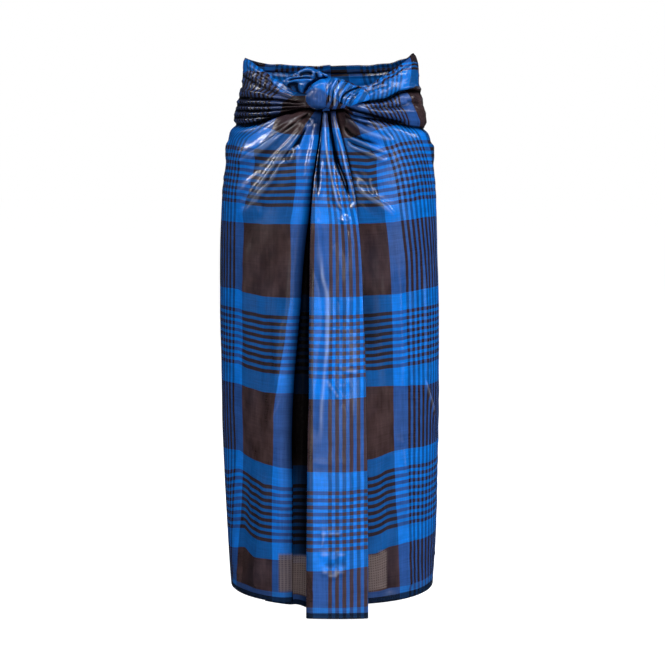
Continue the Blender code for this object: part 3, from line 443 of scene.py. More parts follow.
BACK_WAIST_RIGHT = [
    ("ridge", .0032, .0028, .0032, .05, .20, [(-16, .020), (4, .022), (28, .020), (54, .014), (74, .010)]),
    ("valley", .0044, .0024, .0030, .05, .20, [(-16, .010), (4, .012), (26, .010), (50, .004), (76, .000)]),
    ("ridge", .0030, .0026, .0032, .05, .20, [(-17, .000), (4, .002), (28, -.002), (52, -.008), (78, -.012)]),
    ("valley", .0036, .0024, .0030, .05, .20, [(-17, -.012), (4, -.010), (28, -.014), (54, -.018), (80, -.022)]),
    ("ridge", .0028, .0026, .0032, .05, .20, [(-17, -.026), (4, -.024), (30, -.026), (56, -.030), (82, -.034)]),
    ("ridge", .0022, .0026, .0032, .10, .25, [(-14, .046), (8, .044), (34, .040), (60, .034), (80, .030)]),
    ("valley", .0010, .0022, .0028, .10, .10, [(-14, .062), (8, .058), (34, .053), (60, .050), (86, .048)]),
]

# ------------------------------------------------------------------ the check
# One sequence serves both ways of the weave: a brown block, blue, nine thin brown lines on
# blue, blue. s runs round the tube, t down it, both in metres of cloth.
WARP = dict(block=0.0980, blue=0.0280, stripes=0.1040)     # repeat 0.258
WEFT = dict(block=0.1315, blue=0.0320, stripes=0.1095)     # repeat 0.3045 (0.0315 after the lines)
T_HEM = 0.692
T_KEYS = [-.173, -.141, -.0315, 0, .1315, .1635, .273, .3045, .436, .468, .5775, .609]
# where the edges of the blocks lie over the front: s, then (x, z) from top to bottom
WARP_LEFT = [
    (-0.028, [
        (-0.1064, -0.0113), (-0.1119, -0.0365), (-0.1229, -0.0544), (-0.1512, -0.0758), (-0.1608, -0.1030),
        (-0.1646, -0.1303), (-0.1703, -0.1668), (-0.1723, -0.1942), (-0.1750, -0.3688), (-0.1774, -0.5557),
        (-0.1752, -0.6500), (-0.1804, -0.7478), (-0.1868, -0.8702), (-0.1852, -0.8998)]),
    (0, [
        (-0.0844, -0.0117), (-0.0989, -0.0403), (-0.1062, -0.0618), (-0.1303, -0.0941), (-0.1340, -0.1121),
        (-0.1396, -0.1392), (-0.1452, -0.1664), (-0.1529, -0.1937), (-0.1568, -0.2283), (-0.1593, -0.3674),
        (-0.1624, -0.5531), (-0.1610, -0.6280), (-0.1660, -0.7432), (-0.1730, -0.8228), (-0.1767, -0.8639),
        (-0.1776, -0.9148)]),
    (0.098, [
        (-0.0264, -0.0246), (-0.0372, -0.0407), (-0.0462, -0.0585), (-0.0552, -0.0800), (-0.0597, -0.1032),
        (-0.0606, -0.1478), (-0.0661, -0.1961), (-0.0707, -0.2266), (-0.0699, -0.2913), (-0.0718, -0.3599),
        (-0.0774, -0.4000), (-0.0812, -0.4364), (-0.0886, -0.4823), (-0.0943, -0.5192), (-0.0990, -0.5471),
        (-0.1041, -0.6585), (-0.1062, -0.7147), (-0.1072, -0.9228)]),
]
WARP_PLEAT = [
    (0.356, [
        (-0.0120, -0.0374), (-0.0156, -0.0766), (-0.0191, -0.1121), (-0.0236, -0.1476), (-0.0262, -0.1830),
        (-0.0263, -0.2275), (-0.0272, -0.2720), (-0.0282, -0.3614), (-0.0291, -0.4512), (-0.0301, -0.5415),
        (-0.0303, -0.7236), (-0.0305, -0.9078), (-0.0305, -0.9393)]),
    (0.384, [
        (-0.0066, -0.0374), (-0.0066, -0.0766), (-0.0066, -0.1121), (-0.0066, -0.1476), (-0.0048, -0.1830),
        (-0.0013, -0.2275), (-0.0013, -0.2720), (-0.0013, -0.3614), (-0.0022, -0.4512), (-0.0031, -0.5415),
        (-0.0031, -0.7236), (-0.0032, -0.9078), (-0.0032, -0.9393)]),
    (0.4525, [
        (0.0122, -0.0374), (0.0238, -0.0766), (0.0327, -0.1121), (0.0407, -0.1476), (0.0478, -0.1830),
        (0.0577, -0.2275), (0.0631, -0.2720), (0.0668, -0.3614), (0.0679, -0.4512), (0.0689, -0.5415),
        (0.0698, -0.7236), (0.0705, -0.9078), (0.0706, -0.9393)]),
]
WARP_RIGHT = [
    (0.614, [
        (0.0275, -0.0211), (0.0347, -0.0282), (0.0419, -0.0407), (0.0509, -0.0567), (0.0563, -0.0692),
        (0.0707, -0.0889), (0.0834, -0.1121), (0.0852, -0.1479), (0.0907, -0.1838), (0.0980, -0.2108),
        (0.1036, -0.2379), (0.1074, -0.2741), (0.1112, -0.3285), (0.1153, -0.4562), (0.1179, -0.6225),
        (0.1221, -0.7348), (0.1261, -0.7916), (0.1283, -0.8488), (0.1305, -0.9064)]),
    (0.642, [
        (0.0581, -0.0263), (0.0671, -0.0370), (0.0762, -0.0477), (0.0834, -0.0584), (0.0907, -0.0709),
        (0.1017, -0.0942), (0.1145, -0.1301), (0.1219, -0.1661), (0.1276, -0.2113), (0.1333, -0.2567),
        (0.1372, -0.2931), (0.1393, -0.3662), (0.1416, -0.4580), (0.1444, -0.6254), (0.1442, -0.7756),
        (0.1456, -0.8521), (0.1480, -0.9102)]),
]
WARP_WAIST_LEFT = [
    (-0.132, [
        (-0.1552, 0.0718), (-0.1529, 0.0530), (-0.1570, 0.0351), (-0.1607, 0.0167), (-0.1643, -0.0018),
        (-0.1680, -0.0202), (-0.1719, -0.0348), (-0.1739, -0.0458)]),
    (-0.028, [
        (-0.0771, 0.0276), (-0.0843, 0.0169), (-0.0935, 0.0099), (-0.0989, 0.0028), (-0.1045, -0.0043),
        (-0.1063, -0.0096), (-0.1081, -0.0222), (-0.1118, -0.0366), (-0.1174, -0.0473)]),
    (0, [
        (-0.0480, 0.0272), (-0.0534, 0.0129), (-0.0606, 0.0058), (-0.0715, -0.0013), (-0.0806, -0.0065),
        (-0.0842, -0.0100), (-0.0861, -0.0190), (-0.0915, -0.0279), (-0.0989, -0.0403), (-0.1026, -0.0475)]),
]
WARP_WAIST_RIGHT = [
    (0.614, [
        (0.0292, 0.0306), (0.0292, 0.0037), (0.0310, -0.0052), (0.0346, -0.0141), (0.0382, -0.0230),
        (0.0454, -0.0336)]),
    (0.642, [
        (0.0581, 0.0309), (0.0580, 0.0039), (0.0598, -0.0050), (0.0634, -0.0157), (0.0707, -0.0263),
        (0.0834, -0.0387), (0.0907, -0.0458)]),
    (0.746, [
        (0.1340, 0.0696), (0.1318, 0.0329), (0.1278, 0.0108), (0.1278, -0.0001), (0.1296, -0.0127),
        (0.1352, -0.0235), (0.1428, -0.0360), (0.1505, -0.0485)]),
    (0.774, [
        (0.1496, 0.0709), (0.1493, 0.0486), (0.1453, 0.0263), (0.1431, 0.0115), (0.1488, 0.0007),
        (0.1526, -0.0137), (0.1564, -0.0246), (0.1643, -0.0371), (0.1704, -0.0497)]),
]
# at each x of the front, the level of every t in T_KEYS
WEFT_LEFT = [
    (-0.2002, [-0.0355, -0.0840, -0.1881, -0.2243, -0.3479, -0.3817, -0.4881, -0.5245, -0.6545, -0.6963, -0.8075, -0.8445]),
    (-0.1691, [-0.0462, -0.0883, -0.1904, -0.2251, -0.3479, -0.3830, -0.4870, -0.5235, -0.6490, -0.6834, -0.7973, -0.8337]),
    (-0.1459, [-0.0505, -0.0913, -0.1935, -0.2261, -0.3546, -0.3876, -0.4935, -0.5288, -0.6617, -0.6957, -0.8089, -0.8446]),
    (-0.1178, [-0.0563, -0.0941, -0.1966, -0.2273, -0.3595, -0.3924, -0.4986, -0.5336, -0.6674, -0.7048, -0.8131, -0.8455]),
    (-0.0901, [-0.0655, -0.0951, -0.1963, -0.2268, -0.3595, -0.3922, -0.4989, -0.5337, -0.6724, -0.7078, -0.8126, -0.8447]),
    (-0.0609, [-0.0674, -0.0934, -0.1961, -0.2265, -0.3597, -0.3923, -0.4996, -0.5344, -0.6763, -0.7097, -0.8142, -0.8442]),
]
WEFT_PLEAT = [
    (-0.0283, [-0.0534, -0.0944, -0.1955, -0.2248, -0.3560, -0.3883, -0.5026, -0.5397, -0.6724, -0.7071, -0.8191, -0.8542]),
    (0.0185, [-0.0552, -0.0961, -0.1964, -0.2257, -0.3560, -0.3883, -0.5026, -0.5397, -0.6724, -0.7071, -0.8173, -0.8523]),
    (0.0653, [-0.0588, -0.0979, -0.1973, -0.2266, -0.3551, -0.3865, -0.4999, -0.5361, -0.6706, -0.7035, -0.8136, -0.8459]),
]
WEFT_RIGHT = [
    (0.0402, [-0.0729, -0.0978, -0.1960, -0.2255, -0.3550, -0.3884, -0.4919, -0.5211, -0.6571, -0.6904, -0.8009, -0.8337]),
    (0.0728, [-0.0638, -0.0978, -0.1962, -0.2258, -0.3555, -0.3881, -0.4918, -0.5211, -0.6555, -0.6880, -0.7986, -0.8315]),
    (0.1150, [-0.0527, -0.0869, -0.1930, -0.2237, -0.3550, -0.3850, -0.4892, -0.5223, -0.6428, -0.6744, -0.7866, -0.8205]),
    (0.1412, [-0.0487, -0.0795, -0.1889, -0.2207, -0.3517, -0.3828, -0.4875, -0.5236, -0.6411, -0.6721, -0.7821, -0.8153]),
    (0.1760, [-0.0439, -0.0754, -0.1834, -0.2164, -0.3479, -0.3803, -0.4861, -0.5274, -0.6430, -0.6754, -0.7863, -0.8183]),
]
# upper stretches: x, then (t, z)
WEFT_WAIST_LEFT = [
    (-0.1560, [(-0.3365, 0.0760), (-0.318, 0.0610), (-0.3045, 0.0517), (-0.19, -0.0456)]),
    (-0.1231, [(-0.318, 0.0554), (-0.3045, 0.0472), (-0.29, 0.0399), (-0.19, -0.0418)]),
    (-0.1045, [(-0.3365, 0.0464), (-0.3045, 0.0229), (-0.29, 0.0174), (-0.19, -0.0349)]),
    (-0.0897, [(-0.3365, 0.0315), (-0.3045, 0.0098), (-0.29, 0.0062), (-0.19, -0.0297)]),
    (-0.0624, [(-0.3365, 0.0166), (-0.3045, 0.0022), (-0.29, -0.0014), (-0.19, -0.0210)]),
]
WEFT_WAIST_RIGHT = [
    (0.0400, [(-0.366, 0.0379), (-0.3365, 0.0235), (-0.3045, -0.0087), (-0.19, -0.0257)]),
    (0.0725, [(-0.366, 0.0248), (-0.3365, 0.0185), (-0.3045, -0.0081), (-0.19, -0.0361)]),
    (0.1091, [(-0.366, 0.0465), (-0.3365, 0.0338), (-0.3045, -0.0033), (-0.19, -0.0438)]),
    (0.1372, [(-0.366, 0.0652), (-0.3365, 0.0496), (-0.3045, 0.0130), (-0.19, -0.0470)]),
    (0.1628, [(-0.366, 0.0703), (-0.3365, 0.0543), (-0.3045, 0.0234), (-0.19, -0.0500)]),
]


# ------------------------------------------------------------------ small helpers
def smooth(a, b, x):
    t = np.clip((np.asarray(x, float) - a) / (b - a), 0.0, 1.0)
    return t * t * (3 - 2 * t)


def curve(xs, ys, q):
    """A smooth line through points that never overshoots them; level beyond the ends."""
    xs, ys, q = np.asarray(xs, float), np.asarray(ys, float), np.asarray(q, float)
    order = np.argsort(xs)
    xs, ys = xs[order], ys[order]
    h = np.diff(xs)
    d = np.diff(ys) / h
    m = np.empty_like(ys)
    both = d[1:] * d[:-1]
    m[1:-1] = np.where(both > 0, 2 * both / np.where(both > 0, d[1:] + d[:-1], 1), 0.0)
    m[0], m[-1] = d[0], d[-1]
    k = np.clip(np.searchsorted(xs, q) - 1, 0, len(xs) - 2)
    t = np.clip((q - xs[k]) / h[k], 0.0, 1.0)
    t2, t3 = t * t, t * t * t
    return ((2 * t3 - 3 * t2 + 1) * ys[k] + (t3 - 2 * t2 + t) * h[k] * m[k]
            + (-2 * t3 + 3 * t2) * ys[k + 1] + (t3 - t2) * h[k] * m[k + 1])


def column(rows, z, k):
    return curve([r[0] for r in rows], [r[k] for r in rows], z)


def oval(rows, z):
    left, right, front, back, n = (column(rows, z, k) for k in range(1, 6))
    return (left + right) / 2, (front + back) / 2, (right - left) / 2, (back - front) / 2, n


def oval_point(rows, z, deg):
    """x, y and the outward direction of a point of the oval."""
    cx, cy, a, b, n = oval(rows, z)
    c, s = np.cos(np.radians(deg)), np.sin(np.radians(deg))
    x = a * np.sign(c) * np.abs(c) ** (2 / n)
    y = b * np.sign(s) * np.abs(s) ** (2 / n)
    nx, ny = x / (a * a), y / (b * b)
    r = np.maximum(np.hypot(nx, ny), 1e-9)
    return cx + x, cy + y, nx / r, ny / r


def front_deg(rows, z, x):
    """Degrees round the oval, on its front half, of the point with this x."""
    cx, cy, a, b, n = oval(rows, z)
    r = np.clip((x - cx) / a, -1, 1)
    return 360 - np.degrees(np.arccos(np.sign(r) * np.abs(r) ** (n / 2)))


def arc_table(rows, z):
    deg = np.linspace(-90, 450, 2161)
    x, y, _, _ = oval_point(rows, np.full(deg.shape, z), deg)
    length = np.concatenate([[0], np.cumsum(np.hypot(np.diff(x), np.diff(y)))])
    return deg, length - np.interp(270, deg, length)


ARC = {id(BODY): arc_table(BODY, -0.30), id(WAIST): arc_table(WAIST, 0.0)}


def arc(rows, deg):
    """Distance round the middle section, from the middle of the front, rightwards."""
    return np.interp(deg, *ARC[id(rows)])


def soft_noise(u, v, seed):
    """Smooth noise from -1 to 1, the same on every run."""
    iu, iv = np.floor(u).astype(np.int64), np.floor(v).astype(np.int64)
    fu, fv = u - iu, v - iv
    fu, fv = fu * fu * (3 - 2 * fu), fv * fv * (3 - 2 * fv)

    def corner(i, j):
        n = (i * 374761393 + j * 668265263 + seed * 362437) & 0x7FFFFFFF
        n = ((n ^ (n >> 13)) * 1274126177) & 0x7FFFFFFF
        return (n ^ (n >> 16)) / 0x3FFFFFFF - 1.0

    a = corner(iu, iv) * (1 - fu) + corner(iu + 1, iv) * fu
    b = corner(iu, iv + 1) * (1 - fu) + corner(iu + 1, iv + 1) * fu
    return a * (1 - fv) + b * fv


def crease_z(x):
    return curve([c[0] for c in CREASE], [c[1] for c in CREASE], x)


def edge_at(x, y):
    side = np.where(y > -0.02, crease_z(np.copysign(np.maximum(np.abs(x), SIDE_X), x)), crease_z(x))
    return side + (LEVEL - side) * smooth(-0.03, 0.10, y)


def upright(deg, z):
    out = 0.0
    for angle, height, width, start, full in UPRIGHT:
        off = (deg - angle + 180) % 360 - 180
        out = out + height * np.exp(-(off / width) ** 2) * smooth(-start, -full, -z)
    return out


def refine(points, per=5):
    """A smooth line through given points."""
    p = np.asarray(points, float)
    d = np.concatenate([[0], np.cumsum(np.hypot(*np.diff(p, axis=0).T))])
    tangent = np.gradient(p, d, axis=0) if len(p) > 2 else np.repeat((p[1:] - p[:1]) / d[1], 2, axis=0)
    out = []
    for i in range(len(p) - 1):
        h = d[i + 1] - d[i]
        for t in np.arange(per) / per:
            out.append((2 * t**3 - 3 * t**2 + 1) * p[i] + (t**3 - 2 * t**2 + t) * h * tangent[i]
                       + (-2 * t**3 + 3 * t**2) * p[i + 1] + (t**3 - t**2) * h * tangent[i + 1])
    return np.array(out + [p[-1]])


def relief(folds, u, z, seed=0):
    """How far the creases lift or sink each point. u and z are arrays; folds are on (u, z)."""
    shape = u.shape
    u, z = u.ravel(), z.ravel()
    out = np.zeros(len(u))
    for number, (kind, height, w0, w1, fade_in, fade_out, points) in enumerate(folds):
        p = refine(points)
        reach = 5 * max(w0, w1)
        near = np.nonzero((u > p[:, 0].min() - reach) & (u < p[:, 0].max() + reach)
                          & (z > p[:, 1].min() - reach) & (z < p[:, 1].max() + reach))[0]
        if not len(near):
            continue
        x, y = u[near], z[near]
        along = np.concatenate([[0], np.cumsum(np.hypot(*np.diff(p, axis=0).T))])
        best, place = np.full(len(near), 1e9), np.zeros(len(near))
        for i in range(len(p) - 1):
            a, ab = p[i], p[i + 1] - p[i]
            length = float(np.hypot(*ab))
            t = np.clip(((x - a[0]) * ab[0] + (y - a[1]) * ab[1]) / length**2, 0, 1)
            d2 = (x - a[0] - t * ab[0]) ** 2 + (y - a[1] - t * ab[1]) ** 2
            closer = d2 < best
            best[closer] = d2[closer]
            place[closer] = (along[i] + t * length)[closer]
        f = place / along[-1]
        d = np.sqrt(best) / (w0 + (w1 - w0) * f)
        if kind == "swell":
            profile = np.exp(-d * d)
        else:
            profile = np.exp(-1.25 * (np.sqrt(d * d + 0.20) - 0.447))
        if kind == "valley":
            profile = -profile
        fade = smooth(0, max(fade_in, 1e-6), f) * smooth(0, max(fade_out, 1e-6), 1 - f)
        uneven = 1 + 0.22 * soft_noise(place / 0.013, np.full(len(place), number * 7.3), seed + 11)
        out[near] += height * profile * fade * uneven
    return out.reshape(shape)


def painted_fold_marks(folds, u, z, seed=0):
    """From -1 in the sharp troughs to 1 on the sharp crests: painted shade in the troughs, painted highlights on the
    crests.
    """
    sharp = [f for f in folds if f[0] != "swell"]
    return np.clip(relief(sharp, u, z, seed) / 0.0036, -1, 1)


def painted_knot_shadow(x, z):
    """Painted shadow round the knot and the tuck: 1 on the cloth that goes in under them, 0 a little way out."""
    knot_ = np.hypot((x + 0.007) / 0.0385, (z - 0.003) / 0.0300)
    tuck_ = np.hypot((x + 0.048) / 0.0370, (z - 0.028) / 0.0200)
    return np.maximum(0.92 * (1 - smooth(0.96, 1.26, knot_)), 0.7 * (1 - smooth(0.95, 1.20, tuck_)))


def on_front(rows, folds):
    """Creases given by (x, z) over the front, as (distance round, z)."""
    out = []
    for kind, height, w0, w1, a, b, points in folds:
        z = np.array([p[1] for p in points])
        x = np.array([p[0] for p in points])
        out.append((kind, height, w0, w1, a, b, list(zip(arc(rows, front_deg(rows, z, x)), z))))
    return out


def by_degrees(rows, folds):
    out = []
    for kind, height, w0, w1, a, b, points in folds:
        out.append((kind, height, w0, w1, a, b, [(float(arc(rows, d)), z) for d, z in points]))
    return out


def spread(parts):
    """Column places from (from, to, how many) stretches."""
    out = [np.linspace(a, b, n + 1)[:-1] for a, b, n in parts]
    return np.concatenate(out + [[parts[-1][1]]])


# ------------------------------------------------------------------ where the check lies
def warp_lines(rows, lines, z):
    """For each line of a chart, its distance round at every z."""
    out = []
    for s, points in lines:
        x = curve([p[1] for p in points], [p[0] for p in points], z)
        out.append((s, arc(rows, front_deg(rows, z, x))))
    return out


def ladder(q, marks):
    """Reads q against rising marks [(value, position array)], sloping 1 beyond both ends."""
    first, last = marks[0], marks[-1]
    out = np.where(q < first[1], first[0] - (first[1] - q), last[0] + (q - last[1]))
    for (s0, p0), (s1, p1) in zip(marks, marks[1:]):
        inside = (q >= p0) & (q < p1)
        t = (q - p0) / np.maximum(p1 - p0, 1e-6)
        out = np.where(inside, s0 + (s1 - s0) * t, out)
    return out


def level_to_t(z, keys, levels, hem):
    """t of a level z at one station: through its keys, then on to the hem."""
    zz = list(levels) + [hem]
    tt = list(keys) + [T_HEM]
    t = curve(zz, tt, z)
    return np.where(z > zz[0], tt[0] - (z - zz[0]), np.where(z < hem, T_HEM + (hem - z), t))


def weft_at(stations, q, z, hem):
    """t between stations [(position, keys, levels)] along q."""
    stations = sorted(stations, key=lambda r: r[0])
    values = [level_to_t(z, k, v, hem) for _, k, v in stations]
    out = np.where(q <= stations[0][0], values[0], values[-1])
    for i in range(len(stations) - 1):
        a, b = stations[i][0], stations[i + 1][0]
        t = smooth(a, b, q) * 0.5 + np.clip((q - a) / (b - a), 0, 1) * 0.5
        inside = (q > a) & (q <= b)
        out = np.where(inside, values[i] + (values[i + 1] - values[i]) * t, out)
    return out


BACK_LEVELS = [-0.222 - 1.0159 * t for t in T_KEYS]      # the same at the seam from both sides


# ------------------------------------------------------------------ grids of the cloth
def panel_rows(side):
    """Nominal levels of a panel, from under the waist's edge to the hem."""
    top = LEVEL + 0.0100
    return np.concatenate([
        np.linspace(top, -0.080, 28)[:-1],
        np.linspace(-0.080, -0.270, 132)[:-1],
        np.linspace(-0.270, -0.880, 100)[:-1],
        np.linspace(-0.880, HEM_Z, 14)])


def settle(place, nominal, rounds=4):
    """Levels of every point of the grid, when rows follow the waist's sloping edge near it."""
    share = 1 - smooth(0.05, 0.20, -nominal)
    z = nominal.copy()
    for _ in range(rounds):
        x, y = place(z)[:2]
        z = nominal + (edge_at(x, y) - LEVEL) * share
    return z


def narrowing(z):
    return 0.22 + 0.78 * smooth(0.03, 0.30, -z)


def inward_at(nominal):
    """The rows at the top go in behind the waist's edge."""
    return curve([-0.070, -0.064, -0.058, -0.0515, -0.046, -0.039], [0, 0.0008, 0.0034, 0.0095, 0.0118, 0.0125], nominal)


def crinkle(u, z, seed, size):
    """Small uneven puckers left by wear, stronger near the knot."""
    n = 0.6 * soft_noise(u / 0.016, z / 0.022, seed) + 0.4 * soft_noise(u / 0.0075, z / 0.010, seed + 5)
    return size * n


def panel(side):
    f = spread([(0, .0125, 14), (.0125, .40, 42), (.40, .52, 20), (.52, 1.0, 160)])
    nominal = np.repeat(panel_rows(side)[:, None], len(f), axis=1)
    f = np.repeat(f[None, :], nominal.shape[0], axis=0)
    edge_x = (lambda z: column(FRONT, z, 1)) if side < 0 else (lambda z: column(FRONT, z, 3) + 0.002)

    def place(z):
        last = front_deg(BODY, z, edge_x(z))
        deg = 90 + (last - 90) * f if side < 0 else 90 + (last - 360 - 90) * f
        x, y, nx, ny = oval_point(BODY, z, deg)
        out = upright(deg, z)
        return x + nx * out, y + ny * out, nx, ny, deg

    z = settle(place, nominal)
    x, y, nx, ny, deg = place(z)
    round_ = arc(BODY, deg if side < 0 else deg + 360)     # both count from the middle of the front
    q = round_
    if side < 0:
        folds = on_front(BODY, SKIRT_LEFT_FOLDS) + by_degrees(BODY, BACK_FOLDS_LEFT)
    else:
        folds = on_front(BODY, SKIRT_RIGHT_FOLDS) + by_degrees(
            BODY, [(k, h, a, b, c, d, [(g + 360, w) for g, w in pts]) for k, h, a, b, c, d, pts in BACK_FOLDS_RIGHT])
    out = relief(folds, q, z, seed=3 if side < 0 else 4)
    mark = painted_fold_marks(folds, q, z, seed=3 if side < 0 else 4)
    fine = 0.00022 + 0.00022 * (1 - smooth(0.05, 0.30, -z))
    out += crinkle(q, z, 21 + side, 1.0) * fine
    # the tube's one seam runs down the middle of the back: a flat strip, sewn down
    out += 0.0007 * (1 - smooth(0.0040, 0.0050, np.abs(q - arc(BODY, 90 if side < 0 else 450))))
    # near the lip or the pleat the creases settle down
    if side > 0:
        pr, py = column(FRONT, z, 3), column(FRONT, z, 4)
        near = np.where(y < 0, 1 - smooth(0.002, 0.034, x - pr), 0.0)
        y_in = py + 0.0068 + 0.0030
        y = np.where(near > 0, np.maximum(y, y + (y_in - y) * near), y)
        out *= 1 - 0.75 * near
    top = inward_at(nominal)
    # painted shade where the top rows go in behind the waist's edge, and painted shadow under the knot
    mark = mark - smooth(0.0020, 0.0112, top) - painted_knot_shadow(x, z) * (y < 0)
    painted_backlight_and_brown_yarn = np.zeros_like(mark)
    if side > 0:
        # painted shadow along the pleat's right edge near the top, and a band of painted shade beside the pleat lower
        # down
        mark -= np.where(y < 0, (1 - smooth(0.001, 0.0065, x - pr)) * (1 - smooth(0.13, 0.24, -z)), 0)
        mark -= np.where(y < 0, 0.42 * (1 - smooth(0.012, 0.046, x - pr)) * smooth(0.325, 0.360, -z) * (1 - smooth(0.430, 0.475, -z)), 0)
        # the part of the front by the pleat that takes painted backlight near the hem
        painted_backlight_and_brown_yarn = np.where(y < 0, (1 - smooth(0.104, 0.109, x)), 0)
    else:
        # the fold's lip rolls in, with painted shade on it that is lighter near the hem
        left_over = arc(BODY, front_deg(BODY, z, column(FRONT, z, 1))) - q
        wide = 0.010 + 0.016 * smooth(0.08, 0.30, -z)
        deep = 0.0020 + 0.0075 * smooth(0.08, 0.26, -z)
        rolled_in = np.clip(1 - left_over / wide, 0, 1) ** 2
        out -= deep * rolled_in
        mark -= 0.85 * np.clip(1 - left_over / (0.8 * wide), 0, 1) ** 2 * smooth(0.09, 0.16, -z) * (1 - 0.45 * smooth(0.640, 0.715, -z))
        # the part of the front near the lip that takes painted backlight near the hem
        painted_backlight_and_brown_yarn = smooth(-0.0965, -0.0925, x) * (y < 0)
    mark = np.clip(mark, -1, 1)
    out *= 1 - smooth(0.0, 0.0125, top) * 0.6
    x, y = x + nx * (out - top), y + ny * (out - top)
    if side < 0:
        lines = warp_lines(BODY, WARP_LEFT, z)
        lip = arc(BODY, front_deg(BODY, z, column(FRONT, z, 1)))
        s = ladder(q, lines + [(0.1255, lip)])
        stations = [(float(arc(BODY, front_deg(BODY, -0.3, row[0]))), T_KEYS, row[1]) for row in WEFT_LEFT]
        stations.append((float(arc(BODY, 170)), T_KEYS, WEFT_LEFT[0][1]))
        stations.append((float(arc(BODY, 90)), T_KEYS, BACK_LEVELS))
    else:
        s = ladder(q, warp_lines(BODY, WARP_RIGHT, z))
        stations = [(float(arc(BODY, front_deg(BODY, -0.3, row[0]))), T_KEYS, row[1]) for row in WEFT_RIGHT]
        stations.append((float(arc(BODY, 370)), T_KEYS, WEFT_RIGHT[-1][1]))
        stations.append((float(arc(BODY, 450)), T_KEYS, BACK_LEVELS))
    t = weft_at(stations, q, z, HEM_Z)
    P = np.stack([x, y, z], -1)
    N = np.stack([nx, ny, np.zeros_like(nx)], -1)
    # painted backlight on the last brown block, and less painted shade where it falls
    painted_backlight_and_brown_yarn = painted_backlight_and_brown_yarn * painted_backlight_band(t, 0.0095 if side < 0 else -0.0010)
    return P, N, np.stack([s, t], -1), z, np.stack([mark * (1 - 0.8 * painted_backlight_and_brown_yarn), painted_backlight_and_brown_yarn], -1)


def painted_backlight_band(t, earlier):
    """The last brown block above the hem, where the light from behind is painted into its colour."""
    return smooth(0.6085 - earlier, 0.6110 - earlier, t) * (1 - smooth(T_HEM - 0.0225, T_HEM - 0.0200, t))


def skirt_left():
    P, N, UV, z, mark = panel(-1)
    # the knife fold at the lip and the layer that lies back behind the panel
    lay = LAYER * (0.60 + 0.40 * narrowing(z[:, -1])) * 0.62
    width = UNDERFOLD_LEFT * narrowing(z[:, -1])
    ahead = P[:, -1] - P[:, -3]
    ahead /= np.linalg.norm(ahead, axis=1)[:, None]
    inward = -N[:, -1]
    cols, uvs, walked = [], [], 0.0
    for a in (20, 50, 80, 110, 140, 165):
        a = math.radians(a)
        cols.append(P[:, -1] + ahead * (lay / 2 * 0.9 * math.sin(a))[:, None] + inward * (lay / 2 * (1 - math.cos(a)))[:, None])
    for share in (0.04, 0.10, 0.18, 0.28, 0.40, 0.52, 0.64, 0.76, 0.88, 1.0):
        # walk back along the panel
        row = []
        for r in range(P.shape[0]):
            back = P[r, ::-1]
            d = np.concatenate([[0], np.cumsum(np.linalg.norm(np.diff(back[:110, :2], axis=0), axis=1))])
            w = width[r] * share
            p = np.array([np.interp(w, d, back[:110, k]) for k in (0, 1)])
            n = np.array([np.interp(w, d, N[r, ::-1][:110, k]) for k in (0, 1)])
            row.append((*(p - n * lay[r] * (1 + 0.35 * share)), z[r, -1]))
        cols.append(np.array(row))
    cols = np.stack(cols, axis=1)
    chain = np.concatenate([P[:, -1:], cols], axis=1)
    walked = np.cumsum(np.linalg.norm(np.diff(chain, axis=1), axis=2), axis=1)
    uv = np.stack([UV[:, -1:, 0] + walked, np.repeat(UV[:, -1:, 1], cols.shape[1], axis=1)], -1)
    hidden = np.zeros((*cols.shape[:2], 2))
    # the layer that lies behind takes full painted shade; its first columns carry on the painted backlight, and the
    # painted shade lifts near the hem
    hidden[..., 0] = -1
    hidden[:, :3, 1] = mark[:, -1:, 1]
    hidden[:, :3, 0] += 0.8 * mark[:, -1:, 1]
    hidden[:, :7, 0] += 0.45 * smooth(0.640, 0.715, -z[:, -1:]) * (1 - mark[:, -1:, 1])
    return np.concatenate([P, cols], 1), np.concatenate([UV, uv], 1), np.concatenate([mark, hidden], 1)


def skirt_right():
    P, N, UV, z, mark = panel(+1)
    pr = column(FRONT, z[:, -1], 3)
    w = pr - column(FRONT, z[:, -1], 2)
    under = np.minimum(UNDERFOLD_RIGHT * narrowing(z[:, -1]), 0.70 * w)
    y_in = np.maximum(column(FRONT, z[:, -1], 4) + 0.0068 + 0.0030, P[:, -1, 1])
    cols = []
    for share in (0.12, 0.3, 0.5, 0.75, 1.0):
        cols.append(np.stack([pr - under * share, y_in + 0.0006 * share, z[:, -1]], -1))
    cols = np.stack(cols, axis=1)
    chain = np.concatenate([P[:, -1:], cols], axis=1)
    walked = np.cumsum(np.linalg.norm(np.diff(chain, axis=1), axis=2), axis=1)
    uv = np.stack([UV[:, -1:, 0] - walked, np.repeat(UV[:, -1:, 1], cols.shape[1], axis=1)], -1)
    hidden = np.zeros((*cols.shape[:2], 2))
    # the layer that lies behind takes full painted shade
    hidden[..., 0] = -1
    return np.concatenate([P, cols], 1), np.concatenate([UV, uv], 1), np.concatenate([mark, hidden], 1)


# painted highlights down the crests of the hanging front: how pale, half width, (x, z) from top to bottom
PLEAT_CRESTS = [
    (0.84, 0.0058, [(-0.0236, -0.2221), (-0.0191, -0.2720), (-0.0138, -0.3167), (-0.0058, -0.3471), (-0.0040, -0.3793), (-0.0049, -0.4422), (-0.0130, -0.5415), (-0.0176, -0.6414)]),
    (0.56, 0.0064, [(0.0363, -0.2293), (0.0381, -0.2899), (0.0391, -0.3614), (0.0418, -0.4332), (0.0437, -0.5415), (0.0420, -0.6141)]),
    (0.4, 0.006, [(-0.0140, -0.7236), (-0.0122, -0.7970), (-0.0105, -0.8616)]),
]


